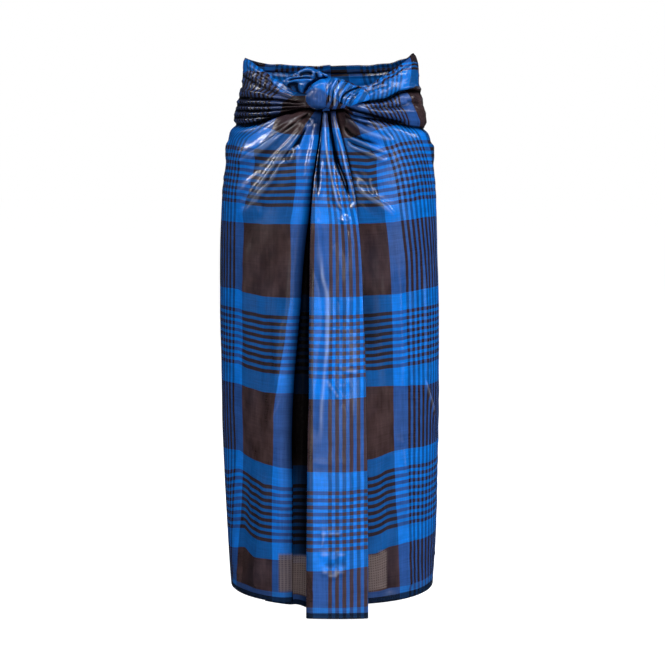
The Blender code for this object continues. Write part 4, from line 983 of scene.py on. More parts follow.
def front_pleat():
    levels = np.concatenate([np.linspace(-0.0245, -0.250, 112)[:-1], np.linspace(-0.250, -0.900, 102)[:-1],
                             np.linspace(-0.900, PLEAT_HEM_Z, 16)])
    z = levels
    lip, pl, pr, py, floor = (column(FRONT, z, k) for k in range(1, 6))
    lay = LAYER * (0.60 + 0.40 * narrowing(z))
    width = UNDERFOLD_LEFT * narrowing(z)
    lip_deg = front_deg(BODY, z, lip)
    points = []

    def add(x, y, n):
        points.append((np.stack([x, y], -1), n))

    y_lip = oval_point(BODY, z, lip_deg)[1]
    for share, n in ((1.0, 4), (0.66, 4), (0.33, 4)):
        deg = lip_deg - share * width / 0.0034 * 1.0
        x, y, nx, ny = oval_point(BODY, z, deg)
        add(x - nx * lay * 2.0, y - ny * lay * 2.0, n)
    y_floor = y_lip + np.maximum(floor, 2.15 * lay)
    span = pl - lip
    add(lip, y_lip + np.maximum(2.05 * lay, floor - 0.004), 8)
    add(lip + 0.30 * span, y_floor - 0.0008, 8)
    add(lip + 0.62 * span, y_floor, 8)
    add(pl + 0.0010, y_floor - 0.0035, 7)
    add(pl + 0.0007, 0.5 * (y_floor - 0.0035) + 0.5 * (py + 0.0045), 7)
    add(pl - 0.0001, py + 0.0040, 4)
    w = pr - pl
    add(pl + 0.012 * w, py + 0.0006, 4)
    shares = (0.06, 0.15, 0.30, 0.45, 0.60, 0.75, 0.88)
    for share in shares:
        add(pl + share * w, py - 0.0028 * math.sin(math.pi * share), {0.06: 5, 0.88: 5}.get(share, 11))
    add(pr - 0.02 * w, py + 0.0004, 4)
    add(pr, py + 0.0028, 4)
    add(pr - 0.03 * w, py + 0.0052, 4)
    under = np.minimum(UNDERFOLD_RIGHT * narrowing(z), 0.70 * w)
    add(pr - 0.5 * under, py + 0.0062, 4)
    add(pr - under, py + 0.0064, 0)
    cols = []
    front = []
    for i, (p, n) in enumerate(points[:-1]):
        for k in range(n):
            cols.append(p + (points[i + 1][0] - p) * (k / n))
            front.append(min(max(i - 9 + k / n, 0), 8))
    cols.append(points[-1][0])
    front.append(8)
    XY = np.stack(cols, axis=1)                       # rows, columns, 2
    for _ in range(3):                                # corners of the folds are round
        XY[:, 1:-1] = 0.25 * XY[:, :-2] + 0.5 * XY[:, 1:-1] + 0.25 * XY[:, 2:]
    x, y = XY[..., 0].copy(), XY[..., 1].copy()
    rows, ncols = x.shape
    zz = np.repeat(z[:, None], ncols, axis=1)
    starts = np.cumsum([0] + [n for _, n in points[:-1]])
    col = np.arange(ncols)
    hanging = (smooth(starts[8] - 1, starts[10], col) * (1 - smooth(starts[17] - 1, starts[18] + 1, col)))[None, :]
    # the layers near the top go in with the panel that they lie behind
    behind = (1 - smooth(starts[5], starts[7], col))[None, :]
    y += 0.0125 * smooth(-0.046, -0.026, zz) * behind
    # creases
    lift = relief(PLEAT_RELIEF, x, zz, seed=5)
    lift += crinkle(x * 1.0, zz, 31, 1.0) * (0.0002 + 0.0001 * (1 - smooth(0.05, 0.30, -zz)))
    y -= lift * hanging
    # long soft crests, with painted highlights
    mark = painted_fold_marks(PLEAT_RELIEF, x, zz, seed=5)
    for level, wide, line in PLEAT_CRESTS:
        far = np.abs(x - curve([p[1] for p in line][::-1], [p[0] for p in line][::-1], zz)) / wide
        ends = smooth(line[-1][1] - 0.030, line[-1][1] + 0.060, zz) * (1 - smooth(line[0][1] - 0.050, line[0][1] + 0.020, zz))
        mark = mark + level * np.exp(-far**2) * ends * (0.75 + 0.5 * soft_noise(x / 0.006, zz / 0.050, 91))
    # painted shade along its left edge, where it turns away
    mark = mark - 0.30 * (1 - smooth(0.003, 0.013, x - pl[:, None])) * smooth(0.20, 0.30, -zz)      # its left edge turns away
    mark = mark * hanging
    valley = 1 - smooth(starts[7] - 2, starts[8] + 1, col)[None, :]
    # painted shade in the valley and under the knot; lower down the valley opens, light reaches in from its left, and
    # the painted shade lifts, more so near the hem
    across = np.clip((x - lip[:, None]) / np.maximum(pl - lip, 0.004)[:, None], 0, 1)
    opened = smooth(0.640, 0.715, -zz)
    near_hem = smooth(0.840, 0.895, -zz)
    mark = np.clip(mark - valley * (1 - opened * (0.56 - 0.54 * across)) * (1 - 0.80 * near_hem * (1 - 0.6 * across)) - painted_knot_shadow(x, zz), -1, 1)
    # the hidden layers' hem is a little higher
    hem = PLEAT_HEM_Z + 0.011 * (1 - smooth(starts[4], starts[8], col))[None, :]
    share = smooth(0.86, 0.942, -zz)
    zz = zz + (hem - PLEAT_HEM_Z) * share
    # the check: by place on the hanging front, by length of cloth on the rest
    seg = np.hypot(np.diff(x, axis=1), np.diff(y, axis=1))
    walked = np.concatenate([np.zeros((rows, 1)), np.cumsum(seg, axis=1)], axis=1)
    a, b = starts[9], starts[17]
    lines = [(s, curve([p[1] for p in pts], [p[0] for p in pts], zz)) for s, pts in WARP_PLEAT]
    s = ladder(x, [(0.347, x[:, a:a + 1] + 0 * x)] + lines)
    left = s[:, a:a + 1] - (walked[:, a:a + 1] - walked)
    right = s[:, b:b + 1] + (walked - walked[:, b:b + 1])
    s = np.where(col[None, :] < a, left, np.where(col[None, :] > b, right, s))
    stations = [(row[0], T_KEYS, row[1]) for row in WEFT_PLEAT]
    t = weft_at(stations, x, zz - (hem - PLEAT_HEM_Z) * share, PLEAT_HEM_Z)
    # painted backlight in the valley's last brown block, which then takes almost no painted shade
    painted_backlight_and_brown_yarn = valley * smooth(starts[3] - 1, starts[3] + 1, col)[None, :] * painted_backlight_band(t, 0.0165)
    return np.stack([x, y, zz], -1), np.stack([s, t], -1), np.stack([np.where(painted_backlight_and_brown_yarn > 0.5, -0.06, mark), painted_backlight_and_brown_yarn], -1)


TURNED_IN = [(0.0016, -0.0006), (0.0036, -0.0004), (0.0056, 0.0006), (0.0072, 0.0022)]


def waist(side):
    top = TOP_LEFT if side < 0 else TOP_RIGHT
    end = WAIST_LEFT_END if side < 0 else WAIST_RIGHT_END
    f = spread([(0, .40, 40), (.40, .52, 20), (.52, 1.0, 120)])
    v = np.concatenate([np.linspace(0, 1, 92)])
    F, V = np.meshgrid(f, v)
    stop = front_deg(WAIST, 0.0, end)
    deg = 90 + (stop - 90) * F if side < 0 else 90 - (90 + 360 - stop) * F
    z = np.full(F.shape, 0.01)
    for _ in range(5):
        x, y, nx, ny = oval_point(WAIST, z, deg)
        edge = curve([t[0] for t in top], [t[1] for t in top], x)
        side_top = top[0][1] if side < 0 else top[-1][1]
        z_top = np.where(y <= 0, edge, side_top + (TOP_BACK_Z - side_top) * smooth(0.0, 0.11, y))
        z = z_top + (edge_at(x, y) - z_top) * V
    x, y, nx, ny = oval_point(WAIST, z, deg)
    q = arc(WAIST, deg if side < 0 else deg + 360)
    if side < 0:
        folds = on_front(WAIST, WAIST_LEFT_FOLDS) + by_degrees(WAIST, BACK_WAIST_LEFT)
    else:
        folds = on_front(WAIST, WAIST_RIGHT_FOLDS) + by_degrees(
            WAIST, [(k, h, a, b, c, d, [(g + 360, w) for g, w in pts]) for k, h, a, b, c, d, pts in BACK_WAIST_RIGHT])
    out = relief(folds, q, z, seed=7 if side < 0 else 8)
    mark = painted_fold_marks(folds, q, z, seed=7 if side < 0 else 8)
    # small scallops across the gathers
    pull = np.exp(-((q - (-0.135 if side < 0 else 0.150)) / 0.055) ** 2) if side < 0 else 0.35
    out += 0.0008 * soft_noise(q / 0.0052, z / 0.0042, 41 + side) * pull
    out += crinkle(q, z, 51 + side, 0.0005)
    out *= 1 - 0.62 * smooth(0.142, 0.172, np.abs(x)) * (y < 0.06)     # drawn tight round the sides
    out *= 1 - smooth(0.125, 0.150, np.abs(x)) * (1 - smooth(0.0, 0.16, V)) * (y < 0.06)
    out -= 0.0060 * smooth(0.90, 1.0, V) ** 1.5
    out -= 0.0022 * smooth(0.05, 0.0, V)
    x, y = x + nx * out, y + ny * out
    lines = WARP_WAIST_LEFT if side < 0 else WARP_WAIST_RIGHT
    s = ladder(q, warp_lines(WAIST, lines, z))
    table = WEFT_WAIST_LEFT if side < 0 else WEFT_WAIST_RIGHT
    stations = []
    for px, keys in table:
        stations.append((float(arc(WAIST, front_deg(WAIST, 0.0, px))), [k[0] for k in keys], [k[1] for k in keys]))
    keys = [(-.366, TOP_BACK_Z), (-.3365, .050), (-.3045, .030), (-.19, -.051)]
    stations.append((float(arc(WAIST, 90 if side < 0 else 450)), [k[0] for k in keys], [k[1] for k in keys]))
    stations.sort(key=lambda r: r[0])
    t = np.zeros_like(q)
    values = [curve(zz, kk, z) for _, kk, zz in stations]
    t = np.where(q <= stations[0][0], values[0], values[-1])
    for i in range(len(stations) - 1):
        a, b = stations[i][0], stations[i + 1][0]
        w = np.clip((q - a) / (b - a), 0, 1)
        t = np.where((q > a) & (q <= b), values[i] + (values[i + 1] - values[i]) * w, t)
    P = np.stack([x, y, z], -1)
    P[..., 2] += 0.0014 * soft_noise(q / 0.026, 0 * q, 81 + side) * (1 - smooth(0, 0.3, V)) * smooth(-0.04, 0.03, y)
    # the upper edge is turned down inside, and lies close to the wall
    N = np.stack([nx, ny, 0 * nx], -1)
    turned = []
    for row, depth in ((11, 0.0012), (8, 0.0016), (5, 0.0016), (3, 0.0016), (1, 0.0014)):
        turned.append(P[row] - N[row] * (depth + 0.0003 * soft_noise(q[row] / 0.012, row + 0 * q[row], 85))[:, None])
    turned.append(P[0] - N[0] * 0.0007 + np.array([0, 0, 0.0004]))
    turned = np.stack(turned)
    lost = np.array([0.0160, 0.0118, 0.0078, 0.0050, 0.0026, 0.0010])[:, None]
    uv = np.stack([s, t], -1)
    inner = np.stack([np.repeat(s[:1], 6, axis=0), t[:1] - lost + 0 * s[:1]], -1)
    # painted shade in the troughs (softer on the left), along the lower edge, and under the knot
    mark = np.where(mark < 0, mark * (0.78 if side < 0 else 1.0), mark)
    mark = mark - 0.8 * smooth(0.972, 1.0, V) - (0.36 if side < 0 else 0.9) * painted_knot_shadow(x, z) * (y < 0)
    if side < 0:                          # by the knot the troughs run together, and only their bottoms stay dark
        # less painted shade and highlight where the troughs run together by the knot
        mark *= 1 - 0.50 * smooth(-0.085, -0.055, x) * (y < 0)
        # out at the side it is drawn up so tightly, and painted shade darkens it there
        mark -= 0.24 * (1 - smooth(-0.125, -0.088, x)) * smooth(0.10, 0.30, V) * (1 - smooth(0.02, 0.08, y))
    # the lower edge turns in and up, to where the panels go in behind it
    tail = np.stack([P[-1] - N[-1] * depth + np.array([0, 0, rise]) for depth, rise in TURNED_IN])
    uv_tail = np.stack([uv[-1] + np.array([0, depth]) for depth, _ in TURNED_IN])
    # the turned-down top edge inside takes painted shade, the turned-in lower edge near-black painted shade
    mark = np.concatenate([np.full((6, P.shape[1]), -0.35), np.clip(mark, -1, 1), np.full((len(TURNED_IN), P.shape[1]), -0.95)])
    P = np.concatenate([turned, P, tail])
    # drawn together on the left, it shows more of its brown yarn there
    closer = 0.45 * (1 - smooth(-0.030, 0.070, P[..., 1])) if side < 0 else 0 * mark
    return P, np.concatenate([inner, uv, uv_tail]), np.stack([mark, -closer], -1)


def hemmed(P, UV, mark, N_in, depth=0.0085):
    """Turns the lower edge up inside, as a narrow hem."""
    low, uv = P[-1], UV[-1]
    extra, more = [], []
    for inward, rise in ((0.0006, -0.0004), (0.0013, 0.0002), (0.0015, 0.0018), (0.0015, 0.0050), (0.0013, depth)):
        extra.append(low + N_in * inward + np.array([0, 0, rise]))
        more.append(uv + np.array([0.0, 0.0008 + max(rise, 0)]))
    return np.concatenate([P, np.stack(extra)]), np.concatenate([UV, np.stack(more)]), np.concatenate([mark, np.repeat(mark[-1:], 5, axis=0)])


def inward_of(P, flip):
    """Direction to the inside of the cloth along its last row."""
    along = np.gradient(P[-1], axis=0)
    n = np.stack([-along[:, 1], along[:, 0], 0 * along[:, 0]], -1)
    n /= np.maximum(np.linalg.norm(n, axis=1)[:, None], 1e-9)
    return -n if flip else n


# ------------------------------------------------------------------ meshes
def in_trough(mesh, faces, mark, below, hollow=False, eased=False):
    """The bottoms of the deep folds, which were never rubbed, take the second, matt finish; eased faces the third."""
    deep = (mark[np.asarray(faces)].mean(axis=1) < below) | hollow
    slot = np.where(deep, 1, np.where(eased, 2, 0))
    mesh.polygons.foreach_set("material_index", np.concatenate([slot, np.zeros(len(mesh.polygons) - len(slot))]).astype(np.int32))


def drawn_in(P, UV, quads):
    """The faces of the brown block that goes in under the knot from the left: less polished than the rest."""
    centre = P.reshape(-1, 3)[quads].mean(axis=1)
    s, t = np.moveaxis(UV.reshape(-1, 2)[quads].mean(axis=1), -1, 0)
    brown = (np.mod(s, 0.2580) < WARP["block"]) & (np.mod(t, 0.3045) < WEFT["block"])
    return brown & (centre[:, 1] < -0.02) & (centre[:, 2] > -0.085) & (centre[:, 0] > -0.115) & (centre[:, 0] < 0.060)


def stitched(line, long=0.0030, pitch=0.0044, wide=0.00032, high=0.00030):
    """Small stitches along a line of points on the cloth, each a flat thread lying on it."""
    walked = np.concatenate([[0], np.cumsum(np.linalg.norm(np.diff(line, axis=0), axis=1))])
    start = np.arange(pitch, walked[-1] - pitch, pitch)
    at = lambda w: np.stack([np.interp(w, walked, line[:, k]) for k in range(3)], -1)
    a, b = at(start), at(start + long)
    ahead = (b - a) / np.maximum(np.linalg.norm(b - a, axis=1), 1e-9)[:, None]
    middle = (a + b) / 2
    out = np.stack([middle[:, 0], middle[:, 1] * 1.2, 0 * start], -1)
    out /= np.linalg.norm(out, axis=1)[:, None]
    across = np.cross(out, ahead)
    across /= np.maximum(np.linalg.norm(across, axis=1), 1e-9)[:, None]
    rings = []
    for end, rise, width in ((a, -0.0003, 0.6), (a + ahead * long * 0.2, high, 1.0), (b - ahead * long * 0.2, high, 1.0), (b, -0.0003, 0.6)):
        for s, low in ((-1, 0.0), (0, 1.0), (1, 0.0)):
            rings.append(end + across * (s * wide * width) + out * (rise * low - 0.0002 * (1 - low)))
    verts = np.stack(rings, axis=1)                       # stitches, 12, 3
    corner = np.array([[r * 3 + k, r * 3 + k + 1, (r + 1) * 3 + k + 1, (r + 1) * 3 + k] for r in range(3) for k in range(2)])
    faces = corner[None] + (np.arange(len(start)) * 12)[:, None, None]
    return verts.reshape(-1, 3), faces.reshape(-1, 4)


def cloth(name, P, UV, mark, mats, node, flip, thick=0.0008, hollow=0, threads=()):
    rows, cols = P.shape[:2]
    index = np.arange(rows * cols).reshape(rows, cols)
    quads = np.stack([index[:-1, :-1], index[1:, :-1], index[1:, 1:], index[:-1, 1:]], -1).reshape(-1, 4)
    if flip:
        quads = quads[:, ::-1]
    mesh = bpy.data.meshes.new(name)
    verts, faces, uvs, marks = P.reshape(-1, 3), quads.tolist(), UV.reshape(-1, 2), mark.reshape(-1, 2)
    for line in threads:
        stitch, corners = stitched(line)
        faces += (corners + len(verts)).tolist()
        verts = np.concatenate([verts, stitch])
        # thread dyed like the border
        uvs = np.concatenate([uvs, np.repeat([[0.110, T_HEM - 0.0040]], len(stitch), axis=0)])
        marks = np.concatenate([marks, np.zeros((len(stitch), 2))])
    mesh.from_pydata(verts.tolist(), [], faces)
    layer = mesh.uv_layers.new(name="cloth")
    loops = np.empty(len(mesh.loops), dtype=np.int32)
    mesh.loops.foreach_get("vertex_index", loops)
    layer.data.foreach_set("uv", uvs[loops].astype(np.float32).ravel())
    for k, label in enumerate(("fold", "painted_backlight_and_brown_yarn")):
        layer = mesh.attributes.new(label, "FLOAT", "POINT")
        layer.data.foreach_set("value", marks[:, k].astype(np.float32).ravel())
    for mat in mats:
        mesh.materials.append(mat)
    in_trough(mesh, quads, mark[..., 0].ravel(), -0.70, np.arange(cols * rows - rows - cols + 1) % (cols - 1) < hollow, drawn_in(P, UV, quads))
    mesh.shade_smooth()
    obj = bpy.data.objects.new(name, mesh)
    bpy.context.scene.collection.objects.link(obj)
    if thick:
        solid = obj.modifiers.new("cloth", "SOLIDIFY")
        solid.thickness = thick
        solid.offset = 0.0
        solid.use_rim = True
    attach(obj, "root")
    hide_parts(node)
    return obj


# ------------------------------------------------------------------ the knot
# centre, tilt of the upright direction (x, z), half depth, half height
BAND = [
    ((0.0700, -0.1215, 0.0045), (-0.35, 1), 0.0024, 0.0090),
    ((0.0610, -0.1262, 0.0052), (-0.32, 1), 0.0052, 0.0130),
    ((0.0520, -0.1300, 0.0060), (-0.30, 1), 0.0080, 0.0160),
    ((0.0430, -0.1350, 0.0064), (-0.26, 1), 0.0104, 0.0195),
    ((0.0340, -0.1395, 0.0066), (-0.22, 1), 0.0128, 0.0230),
    ((0.0250, -0.1435, 0.0062), (-0.18, 1), 0.0156, 0.0258),
    ((0.0150, -0.1465, 0.0055), (-0.12, 1), 0.0178, 0.0274),
    ((0.0050, -0.1480, 0.0050), (-0.05, 1), 0.0186, 0.0278),
    ((-0.0040, -0.1480, 0.0052), (0, 1), 0.0176, 0.0262),
    ((-0.0100, -0.1470, 0.0054), (0, 1), 0.0140, 0.0215),
    ((-0.0130, -0.1460, 0.0054), (0, 1), 0.0060, 0.0100),
]
LOBE = [
    ((0.0010, -0.1455, 0.0046), (0, 1), 0.0080, 0.0130),
    ((-0.0040, -0.1475, 0.0045), (0, 1), 0.0150, 0.0220),
    ((-0.0100, -0.1482, 0.0040), (0.03, 1), 0.0186, 0.0262),
    ((-0.0170, -0.1480, 0.0030), (0.06, 1), 0.0200, 0.0270),
    ((-0.0240, -0.1472, 0.0016), (0.08, 1), 0.0194, 0.0252),
    ((-0.0310, -0.1450, 0.0004), (0.10, 1), 0.0168, 0.0208),
    ((-0.0370, -0.1420, 0.0000), (0.10, 1), 0.0128, 0.0150),
    ((-0.0412, -0.1400, 0.0000), (0.10, 1), 0.0082, 0.0092),
    ((-0.0430, -0.1390, 0.0000), (0.10, 1), 0.0030, 0.0034),
]
TUCK = [
    ((-0.0850, -0.1170, 0.0278), (0, 1), 0.0024, 0.0024),
    ((-0.0800, -0.1190, 0.0262), (0, 1), 0.0056, 0.0062),
    ((-0.0700, -0.1230, 0.0250), (0, 1), 0.0092, 0.0118),
    ((-0.0600, -0.1262, 0.0262), (0, 1), 0.0116, 0.0168),
    ((-0.0520, -0.1280, 0.0286), (0, 1), 0.0128, 0.0200),
    ((-0.0440, -0.1295, 0.0318), (0, 1), 0.0134, 0.0204),
    ((-0.0370, -0.1310, 0.0350), (0, 1), 0.0134, 0.0176),
    ((-0.0280, -0.1320, 0.0374), (0, 1), 0.0128, 0.0126),
    ((-0.0180, -0.1320, 0.0376), (0, 1), 0.0108, 0.0082),
    ((-0.0080, -0.1312, 0.0368), (0, 1), 0.0070, 0.0044),
    ((-0.0030, -0.1308, 0.0360), (0, 1), 0.0030, 0.0018),
]
BAND_FOLDS = [
    ("ridge", 0.0010, 0.0012, 0.0015, 0.10, 0.15, [
        (0.0059, 0.0300), (0.0006, 0.0213), (-0.0030, 0.0108), (-0.0044, -0.0014), (-0.0030, -0.0119)]),
    ("ridge", 0.0019, 0.0013, 0.0017, 0.08, 0.10, [
        (0.0138, 0.0321), (0.0077, 0.0221), (0.0029, 0.0117), (0.0004, 0.0003), (0.0006, -0.0128)]),
    ("ridge", 0.0013, 0.0012, 0.0014, 0.12, 0.30, [
        (0.0227, 0.0309), (0.0156, 0.0213), (0.0098, 0.0125), (0.0059, 0.0038)]),
    ("ridge", 0.0022, 0.0015, 0.0019, 0.15, 0.08, [
        (0.0271, 0.0282), (0.0191, 0.0178), (0.0133, 0.0082), (0.0091, -0.0032), (0.0080, -0.0189)]),
    ("ridge", 0.0012, 0.0011, 0.0013, 0.30, 0.15, [
        (0.0200, 0.0108), (0.0165, 0.0029), (0.0142, -0.0058), (0.0135, -0.0163)]),
    ("ridge", 0.0019, 0.0014, 0.0017, 0.10, 0.10, [
        (0.0377, 0.0248), (0.0297, 0.0160), (0.0229, 0.0080), (0.0193, -0.0014), (0.0179, -0.0172)]),
    ("ridge", 0.0016, 0.0013, 0.0015, 0.20, 0.10, [
        (0.0359, 0.0047), (0.0292, -0.0011), (0.0246, -0.0076), (0.0225, -0.0172)]),
    ("ridge", 0.0018, 0.0014, 0.0016, 0.20, 0.10, [
        (0.0439, 0.0064), (0.0374, -0.0014), (0.0338, -0.0084), (0.0314, -0.0154)]),
    ("ridge", 0.0012, 0.0012, 0.0014, 0.20, 0.15, [
        (0.0536, 0.0064), (0.0474, 0.0003), (0.0423, -0.0058), (0.0392, -0.0111)]),
    ("valley", 0.0025, 0.0011, 0.0013, 0.08, 0.08, [
        (0.0103, 0.0317), (0.0041, 0.0213), (-0.0001, 0.0108), (-0.0021, -0.0014), (-0.0012, -0.0137)]),
    ("valley", 0.0029, 0.0012, 0.0015, 0.08, 0.08, [
        (0.0200, 0.0312), (0.0126, 0.0192), (0.0080, 0.0090), (0.0045, -0.0041), (0.0041, -0.0181)]),
    ("valley", 0.0019, 0.0010, 0.0012, 0.20, 0.20, [
        (0.0244, 0.0239), (0.0183, 0.0143), (0.0147, 0.0056), (0.0123, -0.0049)]),
    ("valley", 0.0027, 0.0012, 0.0015, 0.08, 0.08, [
        (0.0333, 0.0265), (0.0241, 0.0153), (0.0179, 0.0061), (0.0158, -0.0041), (0.0158, -0.0181)]),
    ("valley", 0.0043, 0.0014, 0.0016, 0.06, 0.08, [
        (0.0571, 0.0195), (0.0465, 0.0150), (0.0359, 0.0097), (0.0271, 0.0035), (0.0213, -0.0049),
        (0.0204, -0.0172)]),
    ("valley", 0.0022, 0.0011, 0.0012, 0.10, 0.10, [
        (0.0404, 0.0038), (0.0328, -0.0023), (0.0287, -0.0084), (0.0269, -0.0163)]),
    ("valley", 0.0021, 0.0011, 0.0012, 0.15, 0.10, [
        (0.0510, 0.0056), (0.0430, -0.0011), (0.0381, -0.0072), (0.0353, -0.0137)]),
    ("swell", 0.0029, 0.0050, 0.0070, 0.15, 0.30, [
        (0.0360, 0.0003), (0.0483, 0.0073), (0.0607, 0.0099), (0.0713, 0.0090)]),
    ("ridge", 0.0013, 0.0016, 0.0020, 0.15, 0.20, [
        (0.0483, 0.0202), (0.0554, 0.0220), (0.0642, 0.0192)]),
    ("valley", 0.0016, 0.0014, 0.0016, 0.15, 0.25, [
        (0.0412, 0.0230), (0.0306, 0.0269), (0.0200, 0.0286), (0.0094, 0.0282)]),
    ("ridge", 0.0011, 0.0009, 0.0011, 0.20, 0.20, [
        (0.0068, 0.0143), (0.0038, 0.0064), (0.0027, -0.0014), (0.0034, -0.0102)]),
    ("ridge", 0.0011, 0.0009, 0.0011, 0.20, 0.20, [
        (0.0191, 0.0038), (0.0172, -0.0032), (0.0165, -0.0102), (0.0172, -0.0163)]),
    ("ridge", 0.0012, 0.0009, 0.0011, 0.20, 0.20, [
        (0.0119, 0.0282), (0.0066, 0.0202), (0.0027, 0.0129)]),
    ("ridge", 0.0012, 0.0009, 0.0011, 0.20, 0.20, [
        (0.0317, 0.0237), (0.0253, 0.0167), (0.0211, 0.0111)]),
    ("valley", 0.0014, 0.0008, 0.0010, 0.20, 0.20, [
        (0.0423, 0.0188), (0.0352, 0.0150), (0.0282, 0.0101), (0.0229, 0.0049)]),
    ("valley", 0.0016, 0.0009, 0.0011, 0.20, 0.20, [
        (0.0494, 0.0118), (0.0412, 0.0073), (0.0349, 0.0021), (0.0307, -0.0042)]),
    ("ridge", 0.0013, 0.0010, 0.0012, 0.20, 0.20, [
        (0.0582, 0.0122), (0.0511, 0.0087), (0.0448, 0.0035)]),
]
LOBE_FOLDS = [
    ("swell", 0.0016, 0.0060, 0.0060, 0.10, 0.10, [
        (-0.0312, 0.0143), (-0.0224, 0.0213), (-0.0136, 0.0248), (-0.0047, 0.0265)]),
    ("ridge", 0.0012, 0.0016, 0.0020, 0.20, 0.20, [
        (-0.0330, 0.0090), (-0.0259, 0.0160), (-0.0171, 0.0204), (-0.0083, 0.0230)]),
    ("ridge", 0.0016, 0.0014, 0.0014, 0.20, 0.20, [
        (-0.0056, 0.0178), (-0.0079, 0.0108), (-0.0072, 0.0003), (-0.0056, -0.0102)]),
    ("ridge", 0.0008, 0.0012, 0.0014, 0.25, 0.25, [
        (-0.0206, 0.0056), (-0.0215, -0.0032), (-0.0207, -0.0137)]),
    ("ridge", 0.0008, 0.0012, 0.0014, 0.25, 0.25, [
        (-0.0136, 0.0073), (-0.0145, -0.0032), (-0.0136, -0.0137)]),
    ("valley", 0.0018, 0.0010, 0.0012, 0.15, 0.15, [
        (-0.0044, 0.0282), (-0.0051, 0.0143), (-0.0051, -0.0014), (-0.0030, -0.0172)]),
    ("swell", -0.0010, 0.0070, 0.0070, 0.20, 0.20, [
        (-0.0295, -0.0014), (-0.0206, -0.0014), (-0.0118, -0.0014)]),
]
TUCK_FOLDS = [
    ("ridge", 0.0017, 0.0014, 0.0018, 0.12, 0.15, [
        (-0.0789, 0.0213), (-0.0736, 0.0256), (-0.0648, 0.0282), (-0.0524, 0.0296), (-0.0383, 0.0296),
        (-0.0277, 0.0275)]),
    ("valley", 0.0044, 0.0026, 0.0029, 0.12, 0.18, [
        (-0.0772, 0.0195), (-0.0701, 0.0220), (-0.0630, 0.0220), (-0.0560, 0.0185)]),
    ("ridge", 0.0013, 0.0014, 0.0017, 0.20, 0.20, [
        (-0.0824, 0.0291), (-0.0736, 0.0331), (-0.0630, 0.0352), (-0.0524, 0.0349)]),
    ("valley", 0.0024, 0.0013, 0.0015, 0.15, 0.15, [
        (-0.0771, 0.0295), (-0.0665, 0.0317), (-0.0542, 0.0324), (-0.0400, 0.0326), (-0.0294, 0.0314)]),
    ("ridge", 0.0010, 0.0013, 0.0015, 0.20, 0.20, [
        (-0.0524, 0.0356), (-0.0436, 0.0363), (-0.0347, 0.0356), (-0.0277, 0.0342)]),
    ("valley", 0.0039, 0.0024, 0.0024, 0.15, 0.18, [
        (-0.0559, 0.0384), (-0.0471, 0.0415), (-0.0383, 0.0418), (-0.0294, 0.0394)]),
    ("ridge", 0.0013, 0.0014, 0.0017, 0.15, 0.20, [
        (-0.0594, 0.0422), (-0.0488, 0.0467), (-0.0382, 0.0485), (-0.0312, 0.0457), (-0.0259, 0.0387)]),
    ("valley", 0.0033, 0.0015, 0.0018, 0.20, 0.20, [
        (-0.0250, 0.0431), (-0.0231, 0.0370), (-0.0234, 0.0300)]),
    ("ridge", 0.0010, 0.0013, 0.0015, 0.20, 0.20, [
        (-0.0199, 0.0448), (-0.0167, 0.0396), (-0.0153, 0.0335)]),
    ("valley", 0.0019, 0.0013, 0.0015, 0.20, 0.20, [
        (-0.0135, 0.0404), (-0.0100, 0.0361), (-0.0082, 0.0317)]),
    ("ridge", 0.0011, 0.0015, 0.0018, 0.20, 0.20, [
        (-0.0135, 0.0418), (-0.0082, 0.0394), (-0.0029, 0.0363)]),
    ("swell", 0.0029, 0.0055, 0.0040, 0.15, 0.20, [
        (-0.0471, 0.0248), (-0.0471, 0.0160), (-0.0472, 0.0056), (-0.0463, -0.0032)]),
    ("valley", 0.0031, 0.0018, 0.0018, 0.12, 0.12, [
        (-0.0613, 0.0195), (-0.0572, 0.0099), (-0.0507, -0.0014)]),
    ("valley", 0.0029, 0.0018, 0.0018, 0.12, 0.12, [
        (-0.0312, 0.0230), (-0.0372, 0.0143), (-0.0419, 0.0021)]),
    ("ridge", 0.0012, 0.0014, 0.0015, 0.20, 0.20, [
        (-0.0737, 0.0152), (-0.0684, 0.0143), (-0.0631, 0.0090), (-0.0578, 0.0021)]),
    ("valley", 0.0019, 0.0013, 0.0014, 0.20, 0.20, [
        (-0.0798, 0.0174), (-0.0726, 0.0171), (-0.0675, 0.0122), (-0.0631, 0.0056)]),
    ("ridge", 0.0009, 0.0013, 0.0015, 0.20, 0.20, [
        (-0.0683, 0.0391), (-0.0630, 0.0411), (-0.0577, 0.0401)]),
    ("valley", 0.0017, 0.0013, 0.0014, 0.20, 0.20, [
        (-0.0718, 0.0352), (-0.0647, 0.0373), (-0.0559, 0.0370)]),
    ("ridge", 0.0009, 0.0012, 0.0013, 0.20, 0.20, [
        (-0.0524, 0.0213), (-0.0507, 0.0143), (-0.0489, 0.0073)]),
    ("ridge", 0.0009, 0.0012, 0.0013, 0.20, 0.20, [
        (-0.0401, 0.0204), (-0.0411, 0.0134), (-0.0436, 0.0064)]),
]


